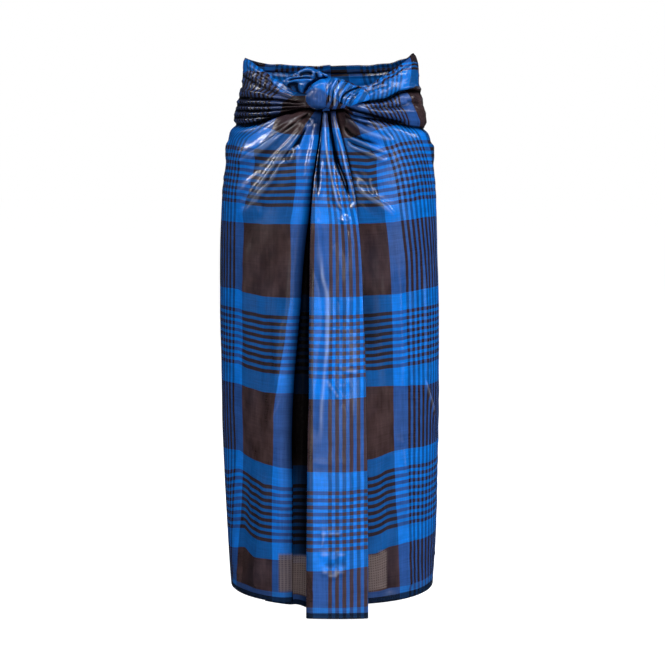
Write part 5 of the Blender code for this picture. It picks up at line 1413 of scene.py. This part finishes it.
def rolled(name, stations, folds, uv_of, mats, node, around, along, full=2.25, seed=0, rough=0.0004):
    """A closed body through oval stations, its creases lifted over the front, closed at both ends."""
    k = np.arange(len(stations))
    q = np.linspace(0, len(stations) - 1, along)
    cx, cy, cz = (curve(k, [s[0][i] for s in stations], q) for i in range(3))
    ux, uz = curve(k, [s[1][0] for s in stations], q), curve(k, [s[1][1] for s in stations], q)
    r = np.hypot(ux, uz)
    ux, uz = ux / r, uz / r
    hd, hh = curve(k, [s[2] for s in stations], q), curve(k, [s[3] for s in stations], q)
    a = np.linspace(0, 2 * math.pi, around + 1)[:-1]
    c = np.sign(np.cos(a)) * np.abs(np.cos(a)) ** (2 / full)
    s = np.sign(np.sin(a)) * np.abs(np.sin(a)) ** (2 / full)
    x = cx[:, None] + (ux * hh)[:, None] * s
    y = cy[:, None] - hd[:, None] * c                     # a = 0 faces the front
    z = cz[:, None] + (uz * hh)[:, None] * s
    P = np.stack([x, y, z], -1)
    du = np.gradient(P, axis=0)
    dv = np.roll(P, -1, axis=1) - np.roll(P, 1, axis=1)
    N = np.cross(du, dv)
    N /= np.maximum(np.linalg.norm(N, axis=2)[..., None], 1e-12)
    middle = P.mean(axis=1, keepdims=True)
    N *= np.sign((N * (P - middle)).sum(-1, keepdims=True).mean())
    fold = relief([f for f in folds], x, z, seed)
    facing = smooth(-0.25, 0.35, -N[..., 1])
    behind = relief([("ridge", f[1] * .7, f[2], f[3], f[4], f[5], f[6]) for f in folds if f[0] == "ridge"], x, z, seed + 1)
    ends = (smooth(0, 0.05, np.linspace(0, 1, along)) * smooth(0, 0.05, 1 - np.linspace(0, 1, along)))[:, None]
    # painted shade in the troughs and painted highlights on the crests, on the side that faces the front
    mark = 1.25 * painted_fold_marks(folds, x, z, seed) * facing
    if node == "knot_tuck":              # it goes in behind the lobe
        # painted shadow where it goes in behind the lobe, and painted shade over the whole tuck
        mark = np.clip(mark - 1.1 * (1 - smooth(0.94, 1.16, np.hypot((x + 0.007) / 0.0385, (z - 0.003) / 0.0300))) - 0.46, -1, 1)
    elif node == "knot_band":
        # painted highlights on the ribs of the band's lower middle
        painted_rib_highlight = smooth(-0.010, -0.002, x) * (1 - smooth(0.016, 0.034, x)) * smooth(-0.004, 0.008, -z)
        mark = mark + 1.1 * np.clip(mark, 0, 1) * painted_rib_highlight
        # painted shade where the band goes in by the lobe, and along its lower part
        mark = np.clip(mark - 0.9 * (1 - smooth(-0.0095, -0.0050, x)) - 0.7 * smooth(0.0175, 0.0265, -z), -1, 1)
    else:
        # painted shade over the lobe's lower part
        mark = np.clip(mark - 0.9 * smooth(0.0150, 0.0240, -z), -1, 1)
    puckers = rough * soft_noise(x / 0.006 + y / 0.008, z / 0.007 - y / 0.009, seed + 60)
    out = (fold * facing + behind * (1 - facing) + puckers) * ends
    P = P + N * out[..., None]
    UV = uv_of(P)
    verts = P.reshape(-1, 3)
    index = np.arange(along * around).reshape(along, around)
    nxt = np.roll(index, -1, axis=1)
    quads = np.stack([index[:-1], nxt[:-1], nxt[1:], index[1:]], -1).reshape(-1, 4)
    faces = quads.tolist()
    faces.append(index[0][::-1].tolist())
    faces.append(index[-1].tolist())
    mesh = bpy.data.meshes.new(name)
    mesh.from_pydata(verts.tolist(), [], faces)
    layer = mesh.uv_layers.new(name="cloth")
    loops = np.empty(len(mesh.loops), dtype=np.int32)
    mesh.loops.foreach_get("vertex_index", loops)
    layer.data.foreach_set("uv", UV.reshape(-1, 2)[loops].astype(np.float32).ravel())
    layer = mesh.attributes.new("fold", "FLOAT", "POINT")
    layer.data.foreach_set("value", mark.astype(np.float32).ravel())
    for mat in mats:
        mesh.materials.append(mat)
    in_trough(mesh, quads, mark.ravel(), -0.80)
    mesh.shade_smooth()
    bm = bmesh.new()
    bm.from_mesh(mesh)
    bmesh.ops.recalc_face_normals(bm, faces=bm.faces)
    bm.to_mesh(mesh)
    bm.free()
    obj = bpy.data.objects.new(name, mesh)
    bpy.context.scene.collection.objects.link(obj)
    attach(obj, "root")
    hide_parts(node)
    return obj


def knot(*mats):
    def band_uv(p):
        x, z = p[..., 0], p[..., 2]
        # a few lines of the warp follow the ribs; blue above, the brown weft below a slanting line
        edge = curve([-0.015, 0.000, 0.016, 0.030, 0.070], [0.0060, 0.0010, -0.008, -0.016, -0.034], x)
        t = -0.3045 - (z - edge) * 0.75
        across = x * 0.86 - z * 0.50
        s = 0.384 + 1.05 * (across + 0.0145)
        s = np.where(across > 0.0300, 0.384 + 1.05 * 0.0445 + (across - 0.030) * 0.8, s)
        return np.stack([s, t], -1)

    def lobe_uv(p):
        x, z = p[..., 0], p[..., 2]
        line = curve([-0.045, -0.036, -0.026, -0.016, -0.012, -0.004], [0.0070, 0.0100, 0.0126, 0.0104, 0.0070, 0.0000], x)
        t = -0.3045 - (z - line) * 0.09
        s = 0.112 + (x + 0.021) * 0.55
        return np.stack([s, t], -1)

    def tuck_uv(p):
        x, y, z = p[..., 0], p[..., 1], p[..., 2]
        t = -0.3200 - (z - 0.034) * 0.55 - (x + 0.045) * 0.16
        s = 0.112 + (x + 0.045) * 0.38 + (y + 0.13) * 0.4
        return np.stack([s, t], -1)

    band = rolled("cloth_knot_band", BAND, BAND_FOLDS, band_uv, mats, "knot_band", 190, 210, seed=71)
    lobe = rolled("cloth_knot_lobe", LOBE, LOBE_FOLDS, lobe_uv, mats, "knot_lobe", 150, 130, seed=72, rough=0.0003)
    tuck = rolled("cloth_knot_tuck", TUCK, TUCK_FOLDS, tuck_uv, mats, "knot_tuck", 170, 210, seed=73, rough=0.0007)
    return band, lobe, tuck


# ------------------------------------------------------------------ the woven cotton
def cloth_material(name, polish, crest_highlight_amount, painted_brightening=1.0, soft=0.170, coat=0.15):
    mat = bpy.data.materials.new(name)
    mat.use_nodes = True
    tree = mat.node_tree
    nodes, links = tree.nodes, tree.links
    shader = nodes["Principled BSDF"]

    def math_node(op, a, b=None, c=None, clamp=False):
        n = nodes.new("ShaderNodeMath")
        n.operation = op
        n.use_clamp = clamp
        for i, v in enumerate((a, b, c)):
            if v is None:
                continue
            if isinstance(v, (int, float)):
                n.inputs[i].default_value = v
            else:
                links.new(v, n.inputs[i])
        return n.outputs[0]

    def mix(factor, a, b):
        n = nodes.new("ShaderNodeMix")
        n.data_type = "RGBA"
        for i, v in ((0, factor), (6, a), (7, b)):
            if isinstance(v, (int, float)):
                n.inputs[i].default_value = v
            elif isinstance(v, tuple):
                n.inputs[i].default_value = (*v, 1.0)
            else:
                links.new(v, n.inputs[i])
        return n.outputs[2]

    def edge(value, at, soft=0.0004):
        """0 below at, 1 above it, over a soft yarn's width."""
        return math_node("MULTIPLY_ADD", value, 0.5 / soft, 0.5 - at * 0.5 / soft, clamp=True)

    uv = nodes.new("ShaderNodeUVMap")
    uv.uv_map = "cloth"
    # the yarns wander a little
    wander = nodes.new("ShaderNodeTexNoise")
    wander.inputs["Scale"].default_value = 38.0
    wander.inputs["Detail"].default_value = 2.0
    links.new(uv.outputs[0], wander.inputs["Vector"])
    centred = nodes.new("ShaderNodeVectorMath")
    centred.operation = "MULTIPLY_ADD"
    centred.inputs[1].default_value = (0.0016, 0.0016, 0)
    centred.inputs[2].default_value = (-0.0008, -0.0008, 0)
    links.new(wander.outputs["Color"], centred.inputs[0])
    moved = nodes.new("ShaderNodeVectorMath")
    moved.operation = "ADD"
    links.new(uv.outputs[0], moved.inputs[0])
    links.new(centred.outputs[0], moved.inputs[1])
    split = nodes.new("ShaderNodeSeparateXYZ")
    links.new(moved.outputs[0], split.inputs[0])
    s, t = split.outputs[0], split.outputs[1]

    def brown_yarn(value, block, blue, stripes, repeat, width):
        """1 where the yarns of one direction are brown."""
        w = math_node("FLOORED_MODULO", value, repeat)
        is_block = math_node("MULTIPLY", edge(w, 0.0), math_node("SUBTRACT", 1.0, edge(w, block)))
        start, end = block + blue, block + blue + stripes
        pitch = (stripes - width) / 8
        local = math_node("SUBTRACT", w, start)
        phase = math_node("FLOORED_MODULO", local, pitch)
        line = math_node("MULTIPLY", edge(phase, 0.0), math_node("SUBTRACT", 1.0, edge(phase, width)))
        zone = math_node("MULTIPLY", edge(w, start), math_node("SUBTRACT", 1.0, edge(w, end)))
        return math_node("MAXIMUM", is_block, math_node("MULTIPLY", line, zone)), is_block

    warp, warp_block = brown_yarn(s, WARP["block"], WARP["blue"], WARP["stripes"], 0.2580, 0.0066)
    weft, weft_block = brown_yarn(t, WEFT["block"], WEFT["blue"], WEFT["stripes"], 0.3045, 0.0070)

    blue_blue = (0.0000, 0.1520, 0.6300)
    # blue warp, brown weft; where the cloth is gathered tight, the attribute that also carries the painted backlight
    # is below 0 and more of the brown shows
    closer = nodes.new("ShaderNodeAttribute")
    closer.attribute_name = "painted_backlight_and_brown_yarn"
    blue_brown = mix(math_node("MULTIPLY", closer.outputs["Fac"], -1.0, clamp=True), (0.0150, 0.0660, 0.2550), (0.0560, 0.0620, 0.1250))
    brown_blue = (0.0010, 0.0690, 0.2650)       # brown warp, blue weft
    # the brown took the dye unevenly, and is rubbed paler down its length in places
    patchy = nodes.new("ShaderNodeMapping")
    patchy.inputs["Scale"].default_value = (1.0, 0.34, 1)
    links.new(uv.outputs[0], patchy.inputs["Vector"])
    patch = nodes.new("ShaderNodeTexNoise")
    patch.inputs["Scale"].default_value = 34.0
    patch.inputs["Detail"].default_value = 4.0
    patch.inputs["Roughness"].default_value = 0.58
    links.new(patchy.outputs[0], patch.inputs["Vector"])
    patched = math_node("MULTIPLY_ADD", patch.outputs["Fac"], 3.2, -1.12, clamp=True)
    brown_brown = mix(patched, (0.0215, 0.0108, 0.0115), (0.0550, 0.0310, 0.0325))
    # in the narrow lines the blue yarn beside them makes the brown look darker; where the cloth is painted brighter
    # they are painted brighter still
    in_lines = tuple(level * (1 + 4 * (painted_brightening - 1)) for level in (0.0215, 0.0135, 0.0170))
    brown_brown = mix(math_node("MULTIPLY", warp_block, weft_block), in_lines, brown_brown)
    on_blue = mix(weft, blue_blue, blue_brown)
    on_brown = mix(weft, brown_blue, brown_brown)
    colour = mix(warp, on_blue, on_brown)
    # the hem: a blue weft line, then a border of dark yarn
    in_line = math_node("MULTIPLY", edge(t, T_HEM - 0.0190), math_node("SUBTRACT", 1.0, edge(t, T_HEM - 0.0095)))
    line_colour = mix(warp, (0.0080, 0.1150, 0.4300), (0.0180, 0.0500, 0.1700))
    colour = mix(in_line, colour, line_colour)
    colour = mix(edge(t, T_HEM - 0.0095), colour, mix(warp, (0.0035, 0.0200, 0.0650), (0.0030, 0.0090, 0.0260)))

    # uneven yarn: streaks along each direction of the weave
    def streaks(sx, sy, scale):
        m = nodes.new("ShaderNodeMapping")
        m.inputs["Scale"].default_value = (sx, sy, 1)
        links.new(uv.outputs[0], m.inputs["Vector"])
        n = nodes.new("ShaderNodeTexNoise")
        n.inputs["Scale"].default_value = scale
        n.inputs["Detail"].default_value = 3.0
        n.inputs["Roughness"].default_value = 0.65
        links.new(m.outputs[0], n.inputs["Vector"])
        return n.outputs["Fac"]

    down = streaks(1.0, 0.018, 900.0)
    across = streaks(0.018, 1.0, 900.0)
    both = math_node("ADD", down, across)
    # thicker and thinner yarns run on for a hand's width, and the dye took unevenly
    uneven = math_node("ADD", streaks(1.0, 0.045, 300.0), streaks(0.045, 1.0, 330.0))
    cloudy = nodes.new("ShaderNodeTexNoise")
    cloudy.inputs["Scale"].default_value = 26.0
    cloudy.inputs["Detail"].default_value = 5.0
    cloudy.inputs["Roughness"].default_value = 0.6
    links.new(uv.outputs[0], cloudy.inputs["Vector"])
    # a gain above 1 paints the whole cloth brighter, as if more lit
    shade = math_node("MULTIPLY_ADD", both, 0.60 * painted_brightening, -0.55 * painted_brightening)
    shade = math_node("MULTIPLY_ADD", uneven, 0.60 * painted_brightening, shade)
    shade = math_node("MULTIPLY_ADD", cloudy.outputs["Fac"], 0.70 * painted_brightening, shade)
    shaded = nodes.new("ShaderNodeVectorMath")
    shaded.operation = "SCALE"
    links.new(colour, shaded.inputs[0])
    links.new(shade, shaded.inputs["Scale"])
    # wear: broad, faint fading
    fade = nodes.new("ShaderNodeTexNoise")
    fade.inputs["Scale"].default_value = 9.0
    fade.inputs["Detail"].default_value = 4.0
    links.new(uv.outputs[0], fade.inputs["Vector"])
    worn = math_node("MULTIPLY_ADD", fade.outputs["Fac"], 0.16, -0.070, clamp=True)
    faded_and_backlit = mix(worn, shaded.outputs[0], (0.030, 0.110, 0.280))
    # painted backlight: the light from behind, through the open weave, painted into its colour
    painted_backlight_and_brown_yarn = nodes.new("ShaderNodeAttribute")
    painted_backlight_and_brown_yarn.attribute_name = "painted_backlight_and_brown_yarn"
    grid_s = math_node("SINE", math_node("MULTIPLY", s, 2 * math.pi / 0.0046))
    grid_t = math_node("SINE", math_node("MULTIPLY", t, 2 * math.pi / 0.0041))
    grid = math_node("MULTIPLY_ADD", math_node("MAXIMUM", grid_s, grid_t), 0.30, 0.62, clamp=True)
    painted_backlight_colour = nodes.new("ShaderNodeVectorMath")
    painted_backlight_colour.operation = "SCALE"
    painted_backlight_colour.inputs[0].default_value = (0.158, 0.120, 0.118)
    links.new(math_node("MULTIPLY", grid, both), painted_backlight_colour.inputs["Scale"])
    faded_and_backlit = mix(math_node("MULTIPLY", painted_backlight_and_brown_yarn.outputs["Fac"], 0.92, clamp=True), faded_and_backlit, painted_backlight_colour.outputs[0])
    # painted highlights on the crests, painted shade in the troughs
    fold = nodes.new("ShaderNodeAttribute")
    fold.attribute_name = "fold"
    painted_shade = math_node("MULTIPLY", fold.outputs["Fac"], -1.0, clamp=True)
    painted_highlight = math_node("MULTIPLY", fold.outputs["Fac"], 1.0, clamp=True)
    painted_highlight = math_node("MULTIPLY", math_node("POWER", painted_highlight, 3.0), crest_highlight_amount)
    unshaded_share = math_node("POWER", math_node("SUBTRACT", 1.0, painted_shade), 1.4)
    depth = math_node("MULTIPLY_ADD", unshaded_share, 0.955, 0.045)
    deep = nodes.new("ShaderNodeVectorMath")
    deep.operation = "SCALE"
    links.new(faded_and_backlit, deep.inputs[0])
    links.new(depth, deep.inputs["Scale"])
    final = mix(painted_highlight, deep.outputs[0], (0.60, 0.68, 0.85))
    links.new(final, shader.inputs["Base Color"])

    # fine creases of calendered cloth, and its weave
    puckers = nodes.new("ShaderNodeTexNoise")
    puckers.inputs["Scale"].default_value = 70.0
    puckers.inputs["Detail"].default_value = 4.0
    puckers.inputs["Roughness"].default_value = 0.55
    links.new(uv.outputs[0], puckers.inputs["Vector"])
    height = math_node("MULTIPLY_ADD", both, 0.10, puckers.outputs["Fac"])
    bump = nodes.new("ShaderNodeBump")
    bump.inputs["Strength"].default_value = 0.11
    bump.inputs["Distance"].default_value = 0.0016
    links.new(height, bump.inputs["Height"])
    links.new(bump.outputs[0], shader.inputs["Normal"])

    # the polish is uneven: rubbed duller in places
    gloss = nodes.new("ShaderNodeTexNoise")
    gloss.inputs["Scale"].default_value = 24.0
    gloss.inputs["Detail"].default_value = 5.0
    links.new(uv.outputs[0], gloss.inputs["Vector"])
    dull = math_node("MULTIPLY_ADD", gloss.outputs["Fac"], 0.10, soft)
    dull = math_node("MULTIPLY_ADD", fold.outputs["Fac"], -0.03, dull)
    links.new(math_node("MINIMUM", dull, 0.262), shader.inputs["Roughness"])
    shader.inputs["Specular IOR Level"].default_value = polish
    shader.inputs["IOR"].default_value = 1.5
    shader.inputs["Coat Weight"].default_value = coat
    shader.inputs["Coat Roughness"].default_value = 0.14
    shader.inputs["Sheen Weight"].default_value = 0.0
    shader.inputs["Sheen Roughness"].default_value = 0.4
    return mat


def main():
    body = cloth_material("longyi_check_body", 0.44, 0.12, soft=0.190, coat=0.08)
    # the pleat's colour is painted brighter, as if more lit
    hung = cloth_material("longyi_check_pleat", 0.68, 0.24, painted_brightening=1.22)       # rubbed to a higher polish
    gathered = cloth_material("longyi_check_waist", 0.52, 0.12, soft=0.205, coat=0.05)
    matt = cloth_material("longyi_check_fold", 0.05, 0.0, soft=0.200, coat=0.0)      # the bottoms of deep folds
    eased = cloth_material("longyi_check_eased", 0.20, 0.06, soft=0.205, coat=0.0)
    P, UV, mark = skirt_left()
    sewn = [P[-3, :225], P[50:-4, 9], P[50:-4, 3]]        # round the hem, and down the seam at the back
    P, UV, mark = hemmed(P, UV, mark, inward_of(P, False))
    left = cloth("cloth_skirt_left", P, UV, mark, (body, matt, eased), "skirt_left", False, 0, threads=sewn)
    P, UV, mark = skirt_right()
    sewn = [P[-3, :225], P[50:-4, 9]]
    P, UV, mark = hemmed(P, UV, mark, inward_of(P, True))
    right = cloth("cloth_skirt_right", P, UV, mark, (body, matt, eased), "skirt_right", True, 0, threads=sewn)
    P, UV, mark = front_pleat()
    P, UV, mark = hemmed(P, UV, mark, inward_of(P, False))
    pleat = cloth("cloth_front_pleat", P, UV, mark, (hung, matt, hung), "front_pleat", True, hollow=50)
    P, UV, mark = waist(-1)
    w_left = cloth("cloth_waist_left", P, UV, mark, (gathered, matt, eased), "waist_left", True)
    P, UV, mark = waist(+1)
    w_right = cloth("cloth_waist_right", P, UV, mark, (gathered, matt, eased), "waist_right", False)
    knot(cloth_material("longyi_check_knot", 0.52, 0.30, soft=0.200, coat=0.05), matt)
    return left, right, pleat, w_left, w_right


pieces = main()

# ------------------------------------------------------------------ floor, light and camera
FLOOR_Z = -1.025
bpy.ops.mesh.primitive_plane_add(size=60, location=(0, 0, FLOOR_Z))
floor = bpy.context.object
floor.name = "studio_floor"
white = bpy.data.materials.new("studio_white")
white.use_nodes = True
paint = white.node_tree.nodes["Principled BSDF"]
paint.inputs["Base Color"].default_value = (0.52, 0.52, 0.52, 1)
paint.inputs["Roughness"].default_value = 0.9
paint.inputs["Specular IOR Level"].default_value = 0.1
paint.inputs["Emission Color"].default_value = (1, 1, 1, 1)
seen = white.node_tree.nodes.new("ShaderNodeLightPath")
level = white.node_tree.nodes.new("ShaderNodeMath")
level.operation = "MULTIPLY"
level.inputs[1].default_value = 0.95
white.node_tree.links.new(seen.outputs["Is Camera Ray"], level.inputs[0])
white.node_tree.links.new(level.outputs[0], paint.inputs["Emission Strength"])
floor.data.materials.append(white)
floor.visible_glossy = False        # the cloth's polish mirrors the dark end of the room, not the floor

# the white wall is seen by the camera; what lights the cloth is dimmer
world = bpy.data.worlds.new("studio")
bpy.context.scene.world = world
world.use_nodes = True
tree = world.node_tree
back = tree.nodes["Background"]
back.inputs[0].default_value = (1, 1, 1, 1)
back.inputs[1].default_value = 1.0
dim = tree.nodes.new("ShaderNodeBackground")
dim.inputs[0].default_value = (1, 1, 1, 1)
dim.inputs[1].default_value = 0.16
path = tree.nodes.new("ShaderNodeLightPath")
polish = tree.nodes.new("ShaderNodeMath")        # gloss mirrors a darker room
polish.operation = "MULTIPLY_ADD"
polish.inputs[1].default_value = -0.08
polish.inputs[2].default_value = 0.10
tree.links.new(path.outputs["Is Glossy Ray"], polish.inputs[0])
tree.links.new(polish.outputs[0], dim.inputs[1])
choose = tree.nodes.new("ShaderNodeMixShader")
tree.links.new(path.outputs["Is Camera Ray"], choose.inputs[0])
tree.links.new(dim.outputs[0], choose.inputs[1])
tree.links.new(back.outputs[0], choose.inputs[2])
tree.links.new(choose.outputs[0], tree.nodes["World Output"].inputs[0])


def area(name, place, target, power, size, size_y, along=None):
    """A rectangular soft box. along: the direction of its long side, if it isn't upright."""
    light = bpy.data.lights.new(name, "AREA")
    light.energy = power
    light.shape = "RECTANGLE"
    light.size, light.size_y = size, size_y
    obj = bpy.data.objects.new(name, light)
    bpy.context.scene.collection.objects.link(obj)
    obj.location = place
    aim = Vector([target[i] - place[i] for i in range(3)]).normalized()
    if along is None:
        obj.rotation_euler = aim.to_track_quat("-Z", "Y").to_euler()
    else:
        side = Vector(along).cross(-aim).normalized()
        obj.rotation_euler = Matrix((side, (-aim).cross(side), -aim)).transposed().to_euler()
    return obj


def around(azimuth, height, far=3.0, centre=(0.0, -0.05, -0.20)):
    """A place round the garment: degrees to the viewer's right of the front, degrees up."""
    a, h = math.radians(azimuth), math.radians(height)
    return (centre[0] + far * math.sin(a) * math.cos(h), centre[1] - far * math.cos(a) * math.cos(h),
            centre[2] + far * math.sin(h))


def strip(name, start, end, power, width):
    """A long narrow soft box that runs between two places round the garment. It only glints."""
    a, b = Vector(around(*start)), Vector(around(*end))
    light = area(name, (a + b) / 2, (0.0, -0.05, -0.20), power, width, (b - a).length, b - a)
    light.visible_diffuse = False
    return light


key = area("top_key", (0.20, -2.15, 2.95), (0, -0.10, -0.45), 112, 0.9, 0.50)
left = area("left_soft", (-2.30, -1.30, -0.05), (0, -0.02, -0.50), 14, 1.0, 1.7)
right = area("right_soft", (2.35, -1.45, 0.00), (0, -0.02, -0.50), 42, 1.0, 1.7)
low = area("low_soft", (0.10, -2.60, -0.75), (0, -0.10, -0.85), 7, 1.6, 0.4)
back = area("back_box", (1.75, 2.05, 0.9), (0, 0, -0.4), 44, 0.7, 0.9)
for box in (key, left, right, low, back):
    box.visible_glossy = False          # the big soft boxes shape the cloth
area("top_glint", (0.10, -2.15, 2.95), (0, -0.10, -0.45), 92, 1.1, 0.14).visible_diffuse = False
strip("left_strip", (-56, 14), (-22, 50), 66, 0.11)
strip("right_strip", (54, 16), (24, 50), 28, 0.09)
strip("left_rim", (-100, 20), (-76, 42), 42, 0.12)
strip("right_rim", (100, 20), (76, 42), 16, 0.12)
strip("low_left", (-20, -16), (-20, 6), 2.0, 0.22)
# light from the pale floor on the lower part, and the soft bars that the hanging pleat mirrors
bounce = area("floor_bounce", (0.0, -1.10, -0.985), (0, -0.10, -0.82), 1.9, 1.5, 0.22)
bounce.visible_glossy = bounce.visible_camera = False
for name, x, z, power, width, height in (("bar_left", -0.200, -0.560, 0.46, 0.050, 0.56), ("bar_right", 0.270, -0.490, 0.44, 0.050, 0.42)):
    bar = area(name, (x, -1.85, z), (0.02, -0.16, z * 0.8), power, width, height)
    bar.visible_diffuse = bar.visible_camera = False
crumple = area("crumple_glint", (-0.15, -2.95, 0.35), (0, -0.15, -0.75), 2.2, 0.9, 0.14)
crumple.visible_diffuse = crumple.visible_camera = False

camera = bpy.data.cameras.new("camera")
camera.lens, camera.sensor_width, camera.sensor_fit = 79.8, 36.0, "HORIZONTAL"
view = bpy.data.objects.new("camera", camera)
bpy.context.scene.collection.objects.link(view)
view.location = (0.005, -2.8, -0.113)
view.rotation_euler = (math.radians(90) - math.atan(172 / 1474), 0, 0)
bpy.context.scene.camera = view
bpy.context.scene.view_settings.view_transform = "Standard"
bpy.context.scene.view_settings.look = "None"
